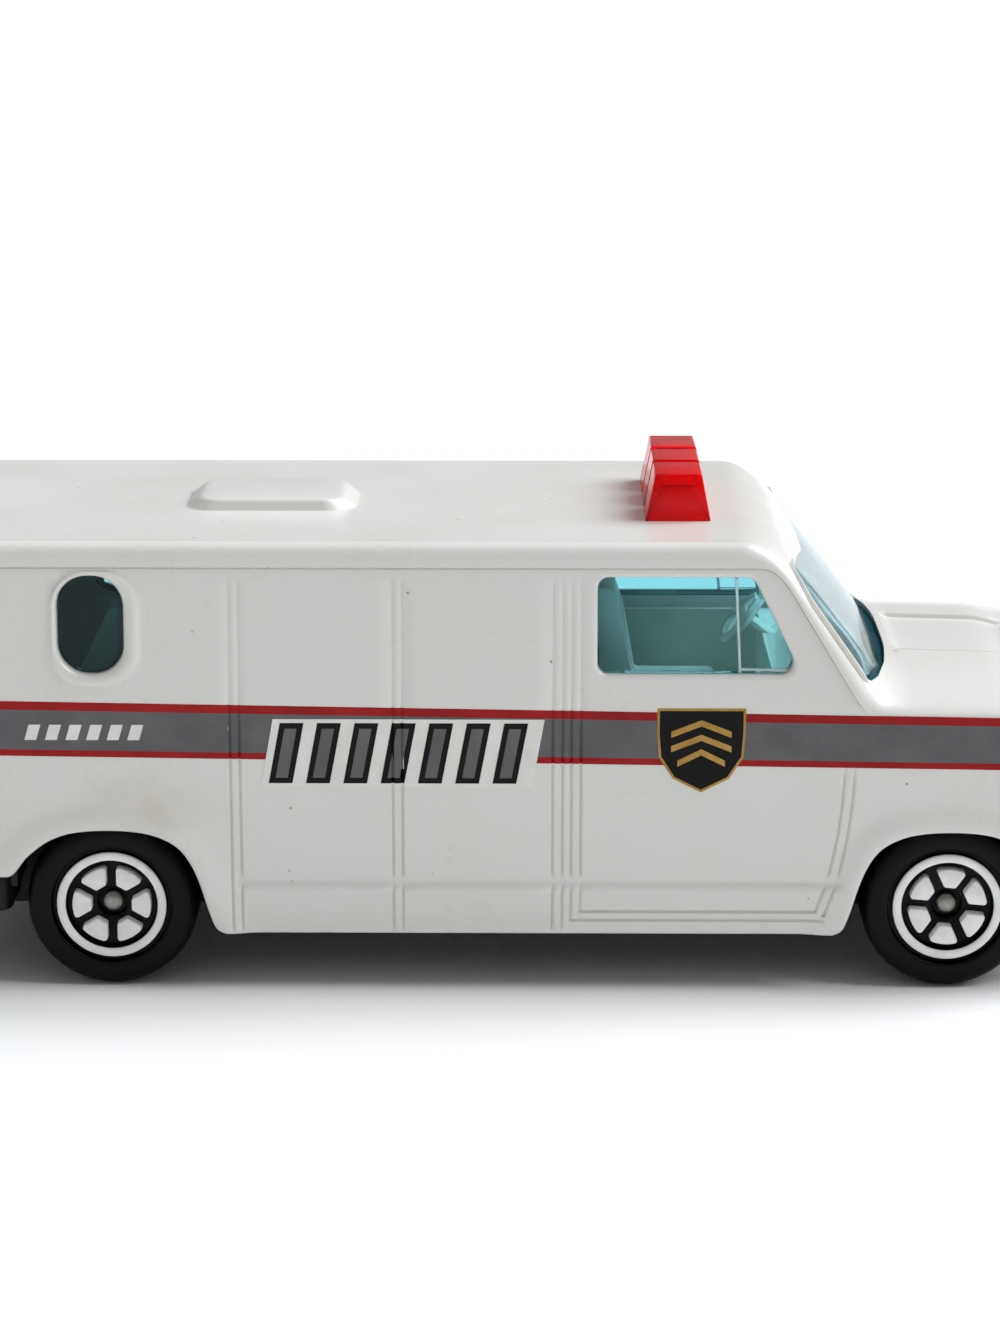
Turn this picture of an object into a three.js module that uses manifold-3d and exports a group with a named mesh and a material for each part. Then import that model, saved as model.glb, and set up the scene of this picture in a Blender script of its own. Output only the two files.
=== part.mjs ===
// Pocket diecast police van: cast body, moulded base, clear window insert, roof lamps, free-rolling wheels.
// Millimetres, +X to the nose, +Y to the van's left, +Z up, ground at z = 0 under the middle of the van.
// Pieces are drawn from mid wheelbase, then moved so that the origin is under the middle of the whole van.
import * as THREE from "three";
import { mergeVertices } from "three/addons/utils/BufferGeometryUtils.js";
import Module from "manifold-3d";

const wasm = await Module();
wasm.setup();

// Overall sizes
const frontOverhang = 10.4; // front axle to the front of the bumper
const rearOverhang = 13.6; // rear axle to the back of the bumper
const bodyWidth = 27.6;
const roofHeight = 29.3; // ground to the flat of the roof
const hoodHeight = 20.6; // ground to the crown of the hood
const beltHeight = 18.8; // ground to the line where the sides start to lean in
const sillHeight = 3.75; // ground to the lower edge between the wheels
const endEdgeHeight = 7.65; // ground to the lower edge beyond the wheels
const wheelbase = 53.6;

// Clearances
const fitGap = 0.3; // between pieces that are fitted together
const runningGap = 0.07; // around a turning axle
const seatGap = 0.02; // under a piece that sits on the body
const wheelClearance = 0.6; // around a turning wheel

// Body casting
const wall = 1.1;
const frontBumperReach = 1.2; // bumper ahead of the nose
const rearBumperReach = 0.9; // bumper behind the rear doors
const roofEdgeDrop = 1.4; // flat of the roof down to the gutter
const sideLean = 0.6; // lean of a side between belt and gutter
const sillTuck = 0.35; // curl of a side under at the sill
const tuckHeight = 3.3; // height of that curl
const shoulderDrop = 0.6; // belt down to the start of the hood's edge
const hoodFall = 0.03; // slope of the hood towards the nose
const hoodBreak = 3.4; // front axle forward to where the hood starts to fall faster
const hoodNoseFall = 0.24; // how much faster it falls from there
const screenRake = 0.77; // forward run of the windscreen for each millimetre down
const screenSetback = 4.5; // front axle back to the windscreen foot
const pillarRake = 0.604; // forward run of the windscreen pillar for each millimetre down
const pillarSetback = 5.85; // front axle back to the pillar foot
const foreheadBlend = 3; // softness of the roof's front edge
const pillarBlend = 1.6; // softness of the gutter's turn into the pillar
const cowlBlend = 0.5; // softness of the windscreen foot
const cowlReach = 2; // windscreen foot forward to where the hood's own section is reached
const rearRound = 1.4; // edge rounding around the rear doors
const leastRound = 0.2; // rounding that is left on forms drawn in
const noseRound = 2.2; // depth of the rounding around the nose
const noseSide = 1.8; // how far the nose draws in at each side
const noseDrop = 1.6; // how far the hood falls over the nose
const roofSquareness = 50; // exponent of the section over the roof
const screenSquareness = 8; // exponent of the section over the windscreen
const hoodSquareness = 2.5; // exponent of the section over the hood
const sideStep = 0.55; // share of the way up a side where its section has a point
const squareBlend = 2.25; // reach of the change from roof to windscreen section, each way
const grooveWidth = 0.6;
const grooveDepth = 0.2;
const gutterWidth = 0.25;
const postRadius = 1.6;
const postInsets = { front: 5, rear: 8.2 }; // post axis in from the end of the body
const webThickness = 1.4; // rib from the rear post to the rear doors

// Lines cast into each side, from mid wheelbase where no other place is named
const sideDoorRear = -18.6;
const sideDoorMiddle = -8.35;
const sideDoorFront = 1.77;
const cabDoorRear = 2.94;
const cabDoorFootSetback = 8.4; // front axle back to the foot of the cab door's front edge
const cabDoorTopSetback = 6.55; // front axle back to the top of that edge
const doorFootHeight = 5.1; // from the ground
const doorBendHeight = 10.5; // ground to where the cab door's front edge turns upright
const creaseHeight = 7; // from the ground

// Wheel arches
const archRise = 5.25; // axle up to the flat of the arch
const archFlat = 1.9; // half of that flat
const archShoulder = 5.7; // half width where the corners start
const archShoulderRise = 2.4; // axle up to the start of the corners
const archCornerDraw = 1.1; // how far the corners lean in
const archFoot = 7.2; // half width at the sill
const archLip = 0.45; // metal left in front of the tyre

// Windows
const windowDrop = 0.7; // gutter down to the top of the side windows
const windowHeight = 6.2;
const doorWindowRear = 4.25; // from mid wheelbase
const doorWindowSetback = 9.8; // front axle back to the lower front corner
const doorWindowRake = 0.5;
const windowCorner = 0.8;
const portholeSetback = 0.8; // rear axle back to the middle of the porthole
const portholeWidth = 4.2;
const portholeCorner = 1.89;
const portholeRim = 0.6; // width of the raised rim
const rimHeight = 0.25; // how far that rim stands proud
const rearWindowWidth = 8.2;
const rearWindowGap = 2.6; // between the two rear windows
const screenMargin = 0.95; // side of the body to the windscreen opening, at the foot and halfway up
const screenTopDraw = 1.45; // how far the opening draws in at its top
const screenTopMargin = 2.5; // roof level down the slope to the opening
const screenFootMargin = 0.2; // hood up the slope to the opening
const screenShoulder = 0.72; // share of the opening's height where its sides start to draw in
const screenCorner = 0.14; // its corners, as a share of its height
const glassThickness = 0.8;
const paneRecess = 0.5; // side and rear panes behind the face of the body
const screenProud = 0.1; // windscreen pane ahead of the face of the body
const glassOverlap = 1.7; // window insert below the side windows

// Roof
const bumpLength = 11.4;
const bumpWidth = 7.4;
const bumpHeight = 0.7;
const bumpCentre = -16.9; // from mid wheelbase
const lampBase = 4.2;
const lampTop = 3;
const lampHeight = 3.05;
const lampLength = 12.8;
const lampSetback = 17.3; // front axle back to the middle of the lamps
const lampGroove = 0.5;
const lampGrooveDepth = 0.7;
const lampPegRadius = 0.9;
const lampPegSpacing = 7;
const lampCount = 3;

// Wheels and axles
const wheelDiameter = 11;
const wheelWidth = 4.2;
const wheelInset = 0.75; // side of the body to the outer face of the wheel
const shoulderRound = 0.9; // tyre edge
const ringRadius = 3.5; // printed ring, outside
const ringWidth = 0.53;
const ringGroove = 0.35; // groove between ring and tyre wall
const faceRecess = 0.3; // depth of the wheel face around the pads
const padOuter = 2.5;
const padInner = 1.3;
const padGap = 0.5;
const padCount = 6;
const hubRecess = 1.3; // ring face in to the hub
const hubRecessRadius = 0.95;
const bossRadius = 1.8; // inner hub
const axleRadius = 0.5;
const axleHeadRadius = 0.7;
const axleHeadLength = 0.5;
const wheelSides = 24;
const padAngles = { front: 0.44, rear: 0 }; // radians, how the wheels happen to stand

// Base and interior
const baseRecess = 0.35; // sill up to the underside
const baseThickness = 1.2;
const linerWall = 0.8;
const bumperFoot = 5;
const linerFoot = 6.4; // ground to the wheel wells' walls at the ends
const bumperInset = 0.9; // side of the body to the end of a bumper
const bumperCorner = 1.2;
const rivetRadius = 0.9;
const rivetHeadRadius = 1.6;
const rivetHeadHeight = 0.5;
const rivetDepth = 4;
const tubWall = 0.8;
const tubSetback = 7.8; // front axle back to the front of the tub
const tongueHalf = 5.5; // half width of the floor over the front axle
const keeperWidth = 1.5;
const keeperLength = 2.6;
const keeperSpread = 8.5; // between the two keepers of an axle
const seatWidth = 7;
const seatGapWidth = 3.6; // between the two seats
const seatRear = 3.6; // top of the seat backs, from mid wheelbase
const seatLength = 9;
const cushionHeight = 2;
const seatHeight = 12.4;
const seatThickness = 1.9;
const seatRecline = 1.8;
const seatCorner = 0.7;
const seatFootCorner = 0.05;
const dashDepth = 3.2;
const steeringRadius = 2.1;
const steeringRim = 0.35;
const steeringSide = 5.3; // from the middle of the van
const steeringReach = 1.3; // wheel centre behind and above the dash
const steeringTilt = -0.92; // radians, column back from upright
const columnLength = 3.25;
const grilleWidth = 19.6;
const grilleHeight = 5.8;
const grilleDrop = 4.4; // crown of the hood down to the grille opening
const grilleRecess = 0.25; // nose back to the face of the insert
const grilleFlange = 0.7; // how far the insert laps behind the nose
const flangeThickness = 0.5;
const grilleSlots = 4;
const slotDepth = 0.4;
const headlampRadius = 2.1;
const headlampReach = 0.25;

// Places that follow from those sizes
const half = bodyWidth / 2;
const axleXs = { front: wheelbase / 2, rear: -wheelbase / 2 };
const bumperXs = { front: axleXs.front + frontOverhang, rear: axleXs.rear - rearOverhang };
const noseX = bumperXs.front - frontBumperReach;
const rearX = bumperXs.rear + rearBumperReach;
const screenBase = axleXs.front - screenSetback;
const pillarBase = axleXs.front - pillarSetback;
const cabDoorFrontFoot = axleXs.front - cabDoorFootSetback;
const cabDoorFrontTop = axleXs.front - cabDoorTopSetback;
const doorWindowFront = axleXs.front - doorWindowSetback;
const portholeCentre = axleXs.rear - portholeSetback;
const lampCentre = axleXs.front - lampSetback;
const tubFront = axleXs.front - tubSetback;
const gutterHeight = roofHeight - roofEdgeDrop;
const tuckTop = sillHeight + tuckHeight;
const axleHeight = wheelDiameter / 2;
const wheelFace = half - wheelInset;
const wheelBack = wheelFace - wheelWidth;
const wellRadius = wheelDiameter / 2 + wheelClearance;
const wellTop = axleHeight + wellRadius;
const linerOuter = wheelBack - wheelClearance;
const linerInner = linerOuter - linerWall;
const baseHalf = half - sillTuck - wall - fitGap;
const baseFoot = sillHeight + baseRecess;
const baseTop = baseFoot + baseThickness;
const tubFloor = wellTop + linerWall;
const tubHalf = half - wall - fitGap;
const grilleFoot = hoodHeight - grilleDrop - grilleHeight;
const windowTop = gutterHeight - windowDrop;
const windowFoot = windowTop - windowHeight;
const glassFoot = windowFoot - glassOverlap;
const glassInset = wall + fitGap;
const postXs = { front: noseX - postInsets.front, rear: rearX + postInsets.rear };
const hoodBreakX = axleXs.front + hoodBreak;
const toMiddle = (rearOverhang - frontOverhang) / 2; // middle of the van forward to mid wheelbase
const pillarTop = pillarBase - (gutterHeight - beltHeight) * pillarRake;
const beyond = 5; // how far cutters reach past what they cut

const paint = { roughness: 0.35, metalness: 0 };
const whiteEnamel = new THREE.MeshStandardMaterial({ color: 0xe4e2dc, ...paint });
const blackPlastic = new THREE.MeshStandardMaterial({ color: 0x17181a, roughness: 0.5, metalness: 0 });
const wheelPlastic = new THREE.MeshStandardMaterial({ color: 0x101216, roughness: 0.4, metalness: 0 });
const tealClear = new THREE.MeshStandardMaterial({ color: 0x2c5a60, roughness: 0.1, metalness: 0 });
const redClear = new THREE.MeshStandardMaterial({ color: 0xa4211d, roughness: 0.15, metalness: 0 });
const palePlastic = new THREE.MeshStandardMaterial({ color: 0xd5d6c8, roughness: 0.5, metalness: 0 });
const silverCoat = new THREE.MeshStandardMaterial({ color: 0xb9bcbe, roughness: 0.25, metalness: 0.9 });
const steel = new THREE.MeshStandardMaterial({ color: 0x9a9a98, roughness: 0.35, metalness: 1 });

const van = new THREE.Group();

// Solids

function solid(geometry) {
  const bare = geometry.clone();
  for (const name of Object.keys(bare.attributes)) if (name !== "position") bare.deleteAttribute(name);
  const merged = mergeVertices(bare, 1e-4);
  const vertProperties = new Float32Array(merged.attributes.position.array);
  const triVerts = new Uint32Array(merged.index.array);
  return new wasm.Manifold(new wasm.Mesh({ numProp: 3, vertProperties, triVerts }));
}

function addPiece(name, piece, material) {
  const mesh = piece.getMesh();
  const geometry = new THREE.BufferGeometry();
  geometry.setAttribute("position", new THREE.BufferAttribute(new Float32Array(mesh.vertProperties), 3));
  geometry.setIndex(new THREE.BufferAttribute(new Uint32Array(mesh.triVerts), 1));
  geometry.computeVertexNormals();
  const part = new THREE.Mesh(geometry, material);
  part.name = name;
  part.position.x = toMiddle;
  van.add(part);
  return part;
}

const joined = (pieces) => pieces.reduce((whole, piece) => whole.add(piece));

// The two directions of a flat outline in space, with the third along the extrusion
const outlineAxes = {
  x: [new THREE.Vector3(0, 1, 0), new THREE.Vector3(0, 0, 1), new THREE.Vector3(1, 0, 0)],
  y: [new THREE.Vector3(1, 0, 0), new THREE.Vector3(0, 0, 1), new THREE.Vector3(0, -1, 0)],
  z: [new THREE.Vector3(1, 0, 0), new THREE.Vector3(0, 1, 0), new THREE.Vector3(0, 0, 1)],
};

// An outline pushed along an axis from one place to another
function prism(outline, axis, from, to, curveSegments = 6) {
  const options = { depth: to - from, bevelEnabled: false, curveSegments };
  const geometry = new THREE.ExtrudeGeometry(outline, options);
  geometry.applyMatrix4(new THREE.Matrix4().makeBasis(...outlineAxes[axis]));
  const start = new THREE.Vector3();
  start[axis] = axis === "y" ? to : from;
  return solid(geometry.translate(start.x, start.y, start.z));
}

function box(x0, x1, y0, y1, z0, z1) {
  const geometry = new THREE.BoxGeometry(x1 - x0, y1 - y0, z1 - z0);
  return solid(geometry.translate((x0 + x1) / 2, (y0 + y1) / 2, (z0 + z1) / 2));
}

// A round bar along an axis from one place to another, at the two other coordinates given
function bar(radius, axis, from, to, place, sides = 24) {
  const geometry = new THREE.CylinderGeometry(radius, radius, to - from, sides);
  if (axis === "z") geometry.rotateX(Math.PI / 2);
  if (axis === "x") geometry.rotateZ(Math.PI / 2);
  const centre = new THREE.Vector3(...place);
  centre[axis] = (from + to) / 2;
  return solid(geometry.translate(centre.x, centre.y, centre.z));
}

// A closed outline through corners, each rounded by its own radius
function roundedOutline(corners) {
  const shape = new THREE.Shape();
  corners.forEach(([x, y, radius], i) => {
    const corner = new THREE.Vector2(x, y);
    const before = new THREE.Vector2(...corners.at(i - 1).slice(0, 2)).sub(corner).setLength(radius);
    const following = corners[(i + 1) % corners.length];
    const after = new THREE.Vector2(...following.slice(0, 2)).sub(corner).setLength(radius);
    const start = corner.clone().add(before);
    const end = corner.clone().add(after);
    if (i === 0) shape.moveTo(start.x, start.y);
    else shape.lineTo(start.x, start.y);
    shape.quadraticCurveTo(corner.x, corner.y, end.x, end.y);
  });
  shape.closePath();
  return shape;
}

function roundedBox(x0, x1, y0, y1, radius) {
  return roundedOutline([[x0, y0, radius], [x1, y0, radius], [x1, y1, radius], [x0, y1, radius]]);
}

// Body form

function smoothMin(a, b, blend) {
  const overlap = Math.max(blend - Math.abs(a - b), 0) / blend;
  return Math.min(a, b) - (overlap * overlap * blend) / 4;
}

const smoothMax = (a, b, blend) => -smoothMin(-a, -b, blend);

// Half width of the body at a height
function sideAt(z) {
  const under = THREE.MathUtils.clamp((tuckTop - z) / tuckHeight, 0, 1);
  const above = Math.max(z - beltHeight, 0) / (gutterHeight - beltHeight);
  return half - sillTuck * under * under - sideLean * above;
}

// Crown of the hood along the van
function hoodAt(x) {
  return hoodHeight - hoodFall * (x - screenBase) - hoodNoseFall * Math.max(x - hoodBreakX, 0);
}

// Half of the body's section at a station, from its foot up over the side to the middle of the top
function halfSection(x, inset, foot, sideShrink, topDrop, topSteps) {
  const { lerp, smoothstep } = THREE.MathUtils;
  const roof = roofHeight - inset;
  const screen = hoodHeight + (screenBase - x) / screenRake - inset * Math.hypot(1, 1 / screenRake);
  const hood = hoodAt(x) - inset;
  const top = smoothMax(smoothMin(roof, screen, foreheadBlend), hood, cowlBlend) - topDrop;
  const gutter = gutterHeight - inset;
  const pillar = beltHeight + (pillarBase - x) / pillarRake - inset * Math.hypot(1, 1 / pillarRake);
  const hoodEdge = beltHeight - shoulderDrop - inset;
  const shoulder = smoothMax(smoothMin(gutter, pillar, pillarBlend), hoodEdge, pillarBlend) - topDrop;
  const overScreen = smoothstep(x, pillarTop - squareBlend, pillarTop + squareBlend);
  const overHood = smoothstep(x, pillarBase, screenBase + cowlReach);
  const cabRoundness = lerp(1 / roofSquareness, 1 / screenSquareness, overScreen);
  const roundness = lerp(cabRoundness, 1 / hoodSquareness, overHood);
  const inward = inset + sideShrink;
  const points = [];
  const middle = lerp(tuckTop, shoulder, sideStep);
  for (const z of [foot, (sillHeight + tuckTop) / 2, tuckTop, middle, shoulder]) {
    points.push([sideAt(z) - inward, z]);
  }
  const reach = sideAt(shoulder) - inward;
  for (let k = 1; k <= topSteps; k++) {
    const angle = (k / topSteps) * (Math.PI / 2);
    const y = k === topSteps ? 0 : reach * Math.cos(angle) ** (2 * roundness);
    points.push([y, shoulder + (top - shoulder) * Math.sin(angle)]);
  }
  return points;
}

// The whole van as one block, drawn in by an inset and standing on a foot
function vanForm(inset, foot = sillHeight, fineSteps = 20, topSteps = 8, endSteps = 4) {
  const stations = [];
  const rearRadius = Math.max(rearRound - inset, leastRound);
  const noseScale = Math.max(noseRound - inset, leastRound) / noseRound;
  for (let k = 0; k <= endSteps; k++) {
    const angle = (k / endSteps) * (Math.PI / 2);
    const shrink = rearRadius * (1 - Math.sin(angle));
    stations.push([rearX + inset + rearRadius * (1 - Math.cos(angle)), shrink, shrink]);
  }
  const fineFrom = pillarTop - foreheadBlend;
  const fineTo = screenBase + cowlReach + cowlBlend;
  for (let k = 0; k <= fineSteps; k++) {
    stations.push([fineFrom + (fineTo - fineFrom) * (k / fineSteps), 0, 0]);
  }
  stations.push([hoodBreakX, 0, 0]);
  for (let k = endSteps; k >= 0; k--) {
    const angle = (k / endSteps) * (Math.PI / 2);
    const x = noseX - inset - noseRound * noseScale * (1 - Math.cos(angle));
    const share = noseScale * (1 - Math.sin(angle));
    stations.push([x, noseSide * share, noseDrop * share]);
  }
  const positions = [];
  const index = [];
  for (const [x, sideShrink, topDrop] of stations) {
    const right = halfSection(x, inset, foot, sideShrink, topDrop, topSteps);
    const left = right.slice(0, -1).reverse();
    for (const [y, z] of right) positions.push(x, -y, z);
    for (const [y, z] of left) positions.push(x, y, z);
  }
  const around = positions.length / 3 / stations.length;
  for (let s = 0; s + 1 < stations.length; s++) {
    for (let k = 0; k < around; k++) {
      const next = (k + 1) % around;
      const [a, b, c, d] = [s * around + k, s * around + next, (s + 1) * around + next, (s + 1) * around + k];
      index.push(a, c, b, a, d, c);
    }
  }
  const mirror = (k) => around - 1 - k;
  const noseRing = (stations.length - 1) * around;
  for (let k = 0; k < mirror(k); k++) {
    index.push(k, k + 1, mirror(k));
    index.push(noseRing + k, noseRing + mirror(k), noseRing + k + 1);
    if (k + 1 === mirror(k + 1)) continue;
    index.push(k + 1, mirror(k + 1), mirror(k));
    index.push(noseRing + k + 1, noseRing + mirror(k), noseRing + mirror(k + 1));
  }
  const geometry = new THREE.BufferGeometry();
  geometry.setAttribute("position", new THREE.Float32BufferAttribute(positions, 3));
  geometry.setIndex(index);
  return solid(geometry);
}

// Body casting

function archOutline(axleX) {
  const shape = new THREE.Shape();
  const rise = (up) => axleHeight + up;
  shape.moveTo(axleX - archFoot, sillHeight - beyond);
  shape.lineTo(axleX - archFoot, sillHeight);
  shape.lineTo(axleX - archShoulder, rise(archShoulderRise));
  const corner = archShoulder - archCornerDraw;
  shape.quadraticCurveTo(axleX - corner, rise(archRise), axleX - archFlat, rise(archRise));
  shape.lineTo(axleX + archFlat, rise(archRise));
  shape.quadraticCurveTo(axleX + corner, rise(archRise), axleX + archShoulder, rise(archShoulderRise));
  shape.lineTo(axleX + archFoot, sillHeight);
  shape.lineTo(axleX + archFoot, sillHeight - beyond);
  return shape;
}

function doorWindowOutline(margin) {
  const [foot, top] = [windowFoot - margin, windowTop + margin];
  const foremost = doorWindowFront + margin * Math.hypot(1, doorWindowRake);
  const front = (z) => foremost - (z - windowFoot) * doorWindowRake;
  return roundedOutline([
    [doorWindowRear - margin, foot, windowCorner],
    [front(foot), foot, windowCorner],
    [front(top), top, windowCorner],
    [doorWindowRear - margin, top, windowCorner],
  ]);
}

function portholeOutline(margin) {
  const reach = portholeWidth / 2 + margin;
  const corner = portholeCorner + margin;
  return roundedBox(
    portholeCentre - reach, portholeCentre + reach, windowFoot - margin, windowTop + margin, corner);
}

// The windscreen opening, cut square to the slope of the screen
function screenCutter(margin) {
  const slope = Math.hypot(1, screenRake);
  const across = new THREE.Vector3(0, 1, 0);
  const up = new THREE.Vector3(-screenRake, 0, 1).divideScalar(slope);
  const out = new THREE.Vector3(1, 0, screenRake).divideScalar(slope);
  const length = (roofHeight - hoodHeight) * slope;
  const [foot, top] = [screenFootMargin - margin, length - screenTopMargin + margin];
  const reach = half - screenMargin + margin;
  const topReach = reach - screenTopDraw;
  const bend = THREE.MathUtils.lerp(foot, top, screenShoulder);
  const corner = screenCorner * (top - foot);
  const outline = roundedOutline([
    [-reach, foot, corner / 2],
    [reach, foot, corner / 2],
    [reach, bend, corner],
    [topReach, top, corner],
    [-topReach, top, corner],
    [-reach, bend, corner],
  ]);
  const inward = glassInset + glassThickness;
  const options = { depth: inward + beyond, bevelEnabled: false, curveSegments: 5 };
  const geometry = new THREE.ExtrudeGeometry(outline, options).translate(0, 0, -inward);
  geometry.applyMatrix4(new THREE.Matrix4().makeBasis(across, up, out));
  return solid(geometry.translate(screenBase, 0, hoodHeight));
}

// The openings in the sides and the rear doors
function sideAndRearCutters(margin) {
  const width = half + beyond;
  const cutters = [
    prism(portholeOutline(margin), "y", -width, width),
    prism(doorWindowOutline(margin), "y", -width, width, 4),
  ];
  for (const side of [-1, 1]) {
    const inner = side * (rearWindowGap / 2 - margin);
    const outer = side * (rearWindowGap / 2 + rearWindowWidth + margin);
    const [y0, y1] = [inner, outer].sort((a, b) => a - b);
    const rearWindow = roundedBox(y0, y1, windowFoot - margin, windowTop + margin, windowCorner);
    cutters.push(prism(rearWindow, "x", rearX - beyond, rearX + glassInset + glassThickness, 4));
  }
  return joined(cutters);
}

// The lines cast into both sides, as full-width slices
function lineCutters() {
  const slice = (x0, x1, z0, z1) => box(x0, x1, -half - beyond, half + beyond, z0, z1);
  const w = grooveWidth / 2;
  const foot = doorFootHeight - w;
  const head = beltHeight - shoulderDrop;
  const upright = (x) => slice(x - w, x + w, foot, windowTop);
  const level = (z) => slice(sideDoorRear - w, cabDoorFrontFoot + w, z - w, z + w);
  const front = new THREE.Shape();
  front.moveTo(cabDoorFrontFoot - w, foot);
  front.lineTo(cabDoorFrontFoot + w, foot);
  front.quadraticCurveTo(cabDoorFrontTop + w, doorBendHeight, cabDoorFrontTop + w, head);
  front.lineTo(cabDoorFrontTop - w, head);
  front.quadraticCurveTo(cabDoorFrontTop - w, doorBendHeight, cabDoorFrontFoot - w, foot);
  const uprights = [sideDoorRear, sideDoorMiddle, sideDoorFront, cabDoorRear].map(upright);
  const gutter = slice(rearX - beyond, pillarTop, gutterHeight, gutterHeight + gutterWidth);
  const cabDoorFront = prism(front, "y", -half - beyond, half + beyond);
  return joined([...uprights, level(doorFootHeight), level(creaseHeight), cabDoorFront, gutter]);
}

function bodyCasting() {
  let body = vanForm(0).subtract(vanForm(wall, sillHeight - beyond, 14, 6, 2));
  const width = half + beyond;
  for (const [end, axleX] of Object.entries(axleXs)) {
    const limit = end === "front" ? noseX + beyond : rearX - beyond;
    const [x0, x1] = [axleX, limit].sort((a, b) => a - b);
    body = body.subtract(box(x0, x1, -width, width, sillHeight - beyond, endEdgeHeight));
    body = body.subtract(prism(archOutline(axleX), "y", -width, width));
    body = body.subtract(bar(wellRadius, "y", archLip - half, half - archLip, [axleX, 0, axleHeight], 32));
  }
  const skin = vanForm(-rimHeight).subtract(vanForm(grooveDepth));
  const rim = prism(portholeOutline(portholeRim), "y", -width, width);
  body = body.subtract(skin.intersect(lineCutters())).add(skin.intersect(rim));
  body = body.subtract(sideAndRearCutters(0)).subtract(screenCutter(0));
  const w = grooveWidth / 2;
  body = body.subtract(box(rearX - beyond, rearX + grooveDepth, -w, w, endEdgeHeight - beyond, windowTop));
  body = body.subtract(prism(grilleOutline(0), "x", noseX - 2 * wall, noseX + beyond, 4));
  const bump = new THREE.ExtrudeGeometry(
    roundedBox(-bumpLength / 2 + bumpHeight, bumpLength / 2 - bumpHeight,
      -bumpWidth / 2 + bumpHeight, bumpWidth / 2 - bumpHeight, bumpHeight),
    {
      depth: wall / 2, bevelThickness: bumpHeight, bevelSize: bumpHeight,
      bevelSegments: 3, curveSegments: 3,
    });
  body = body.add(solid(bump.translate(bumpCentre, 0, roofHeight - wall / 2)));
  for (const side of [-1, 1]) body = body.subtract(pegHole(side));
  const postTops = { front: hoodAt(postXs.front) - wall / 2, rear: glassFoot - fitGap };
  for (const [end, x] of Object.entries(postXs)) {
    body = body.add(bar(postRadius, "z", baseTop, postTops[end], [x, 0, 0]));
  }
  const web = webThickness / 2;
  body = body.add(box(rearX + wall / 2, postXs.rear, -web, web, endEdgeHeight, postTops.rear));
  for (const x of Object.values(postXs)) body = body.subtract(rivetBore(x));
  return body;
}

// Where the roof lamps' pegs pass through the roof and the window insert
function pegHole(side) {
  const place = [lampCentre, (side * lampPegSpacing) / 2, 0];
  return bar(lampPegRadius + fitGap, "z", roofHeight - beyond, roofHeight + seatGap, place, 16);
}

// Where a rivet passes through the base into its post
function rivetBore(x) {
  const top = baseTop + rivetDepth + fitGap;
  return bar(rivetRadius + fitGap, "z", baseFoot - beyond, top, [x, 0, 0], 16);
}

// Window insert

// A shell behind the casting, with a pane standing forward into each opening
function windowInsert() {
  const hollow = vanForm(glassInset + glassThickness, sillHeight - beyond, 14, 6, 2);
  const cabin = box(rearX, screenBase, -half, half, glassFoot, roofHeight);
  const shell = vanForm(glassInset, sillHeight, 14, 6, 2).intersect(cabin);
  const panes = vanForm(paneRecess).intersect(sideAndRearCutters(-fitGap));
  const screen = vanForm(-screenProud).intersect(screenCutter(-fitGap));
  const insert = joined([shell, panes, screen]).subtract(hollow);
  return insert.subtract(pegHole(-1)).subtract(pegHole(1));
}

// Roof lamps

function lampOutline(inset) {
  const foot = roofHeight + seatGap;
  return new THREE.Shape([
    new THREE.Vector2(lampCentre - lampBase / 2 + inset, foot),
    new THREE.Vector2(lampCentre + lampBase / 2 - inset, foot),
    new THREE.Vector2(lampCentre + lampTop / 2 - inset, foot + lampHeight - inset),
    new THREE.Vector2(lampCentre - lampTop / 2 + inset, foot + lampHeight - inset),
  ]);
}

function lightBar() {
  let lamps = prism(lampOutline(0), "y", -lampLength / 2, lampLength / 2);
  const foot = roofHeight + seatGap;
  for (let k = 1; k < lampCount; k++) {
    const y = lampLength * (k / lampCount - 0.5);
    const [y0, y1] = [y - lampGroove / 2, y + lampGroove / 2];
    const slice = box(lampCentre - lampBase, lampCentre + lampBase, y0, y1, foot - beyond, foot + beyond);
    lamps = lamps.subtract(slice.subtract(prism(lampOutline(lampGrooveDepth), "y", y0, y1)));
  }
  const pegFoot = roofHeight - glassInset - glassThickness - fitGap;
  for (const side of [-1, 1]) {
    const place = [lampCentre, (side * lampPegSpacing) / 2, 0];
    lamps = lamps.add(bar(lampPegRadius, "z", pegFoot, foot + lampHeight / 2, place, 16));
  }
  return lamps;
}

// Base with bumpers and wheel wells

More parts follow.
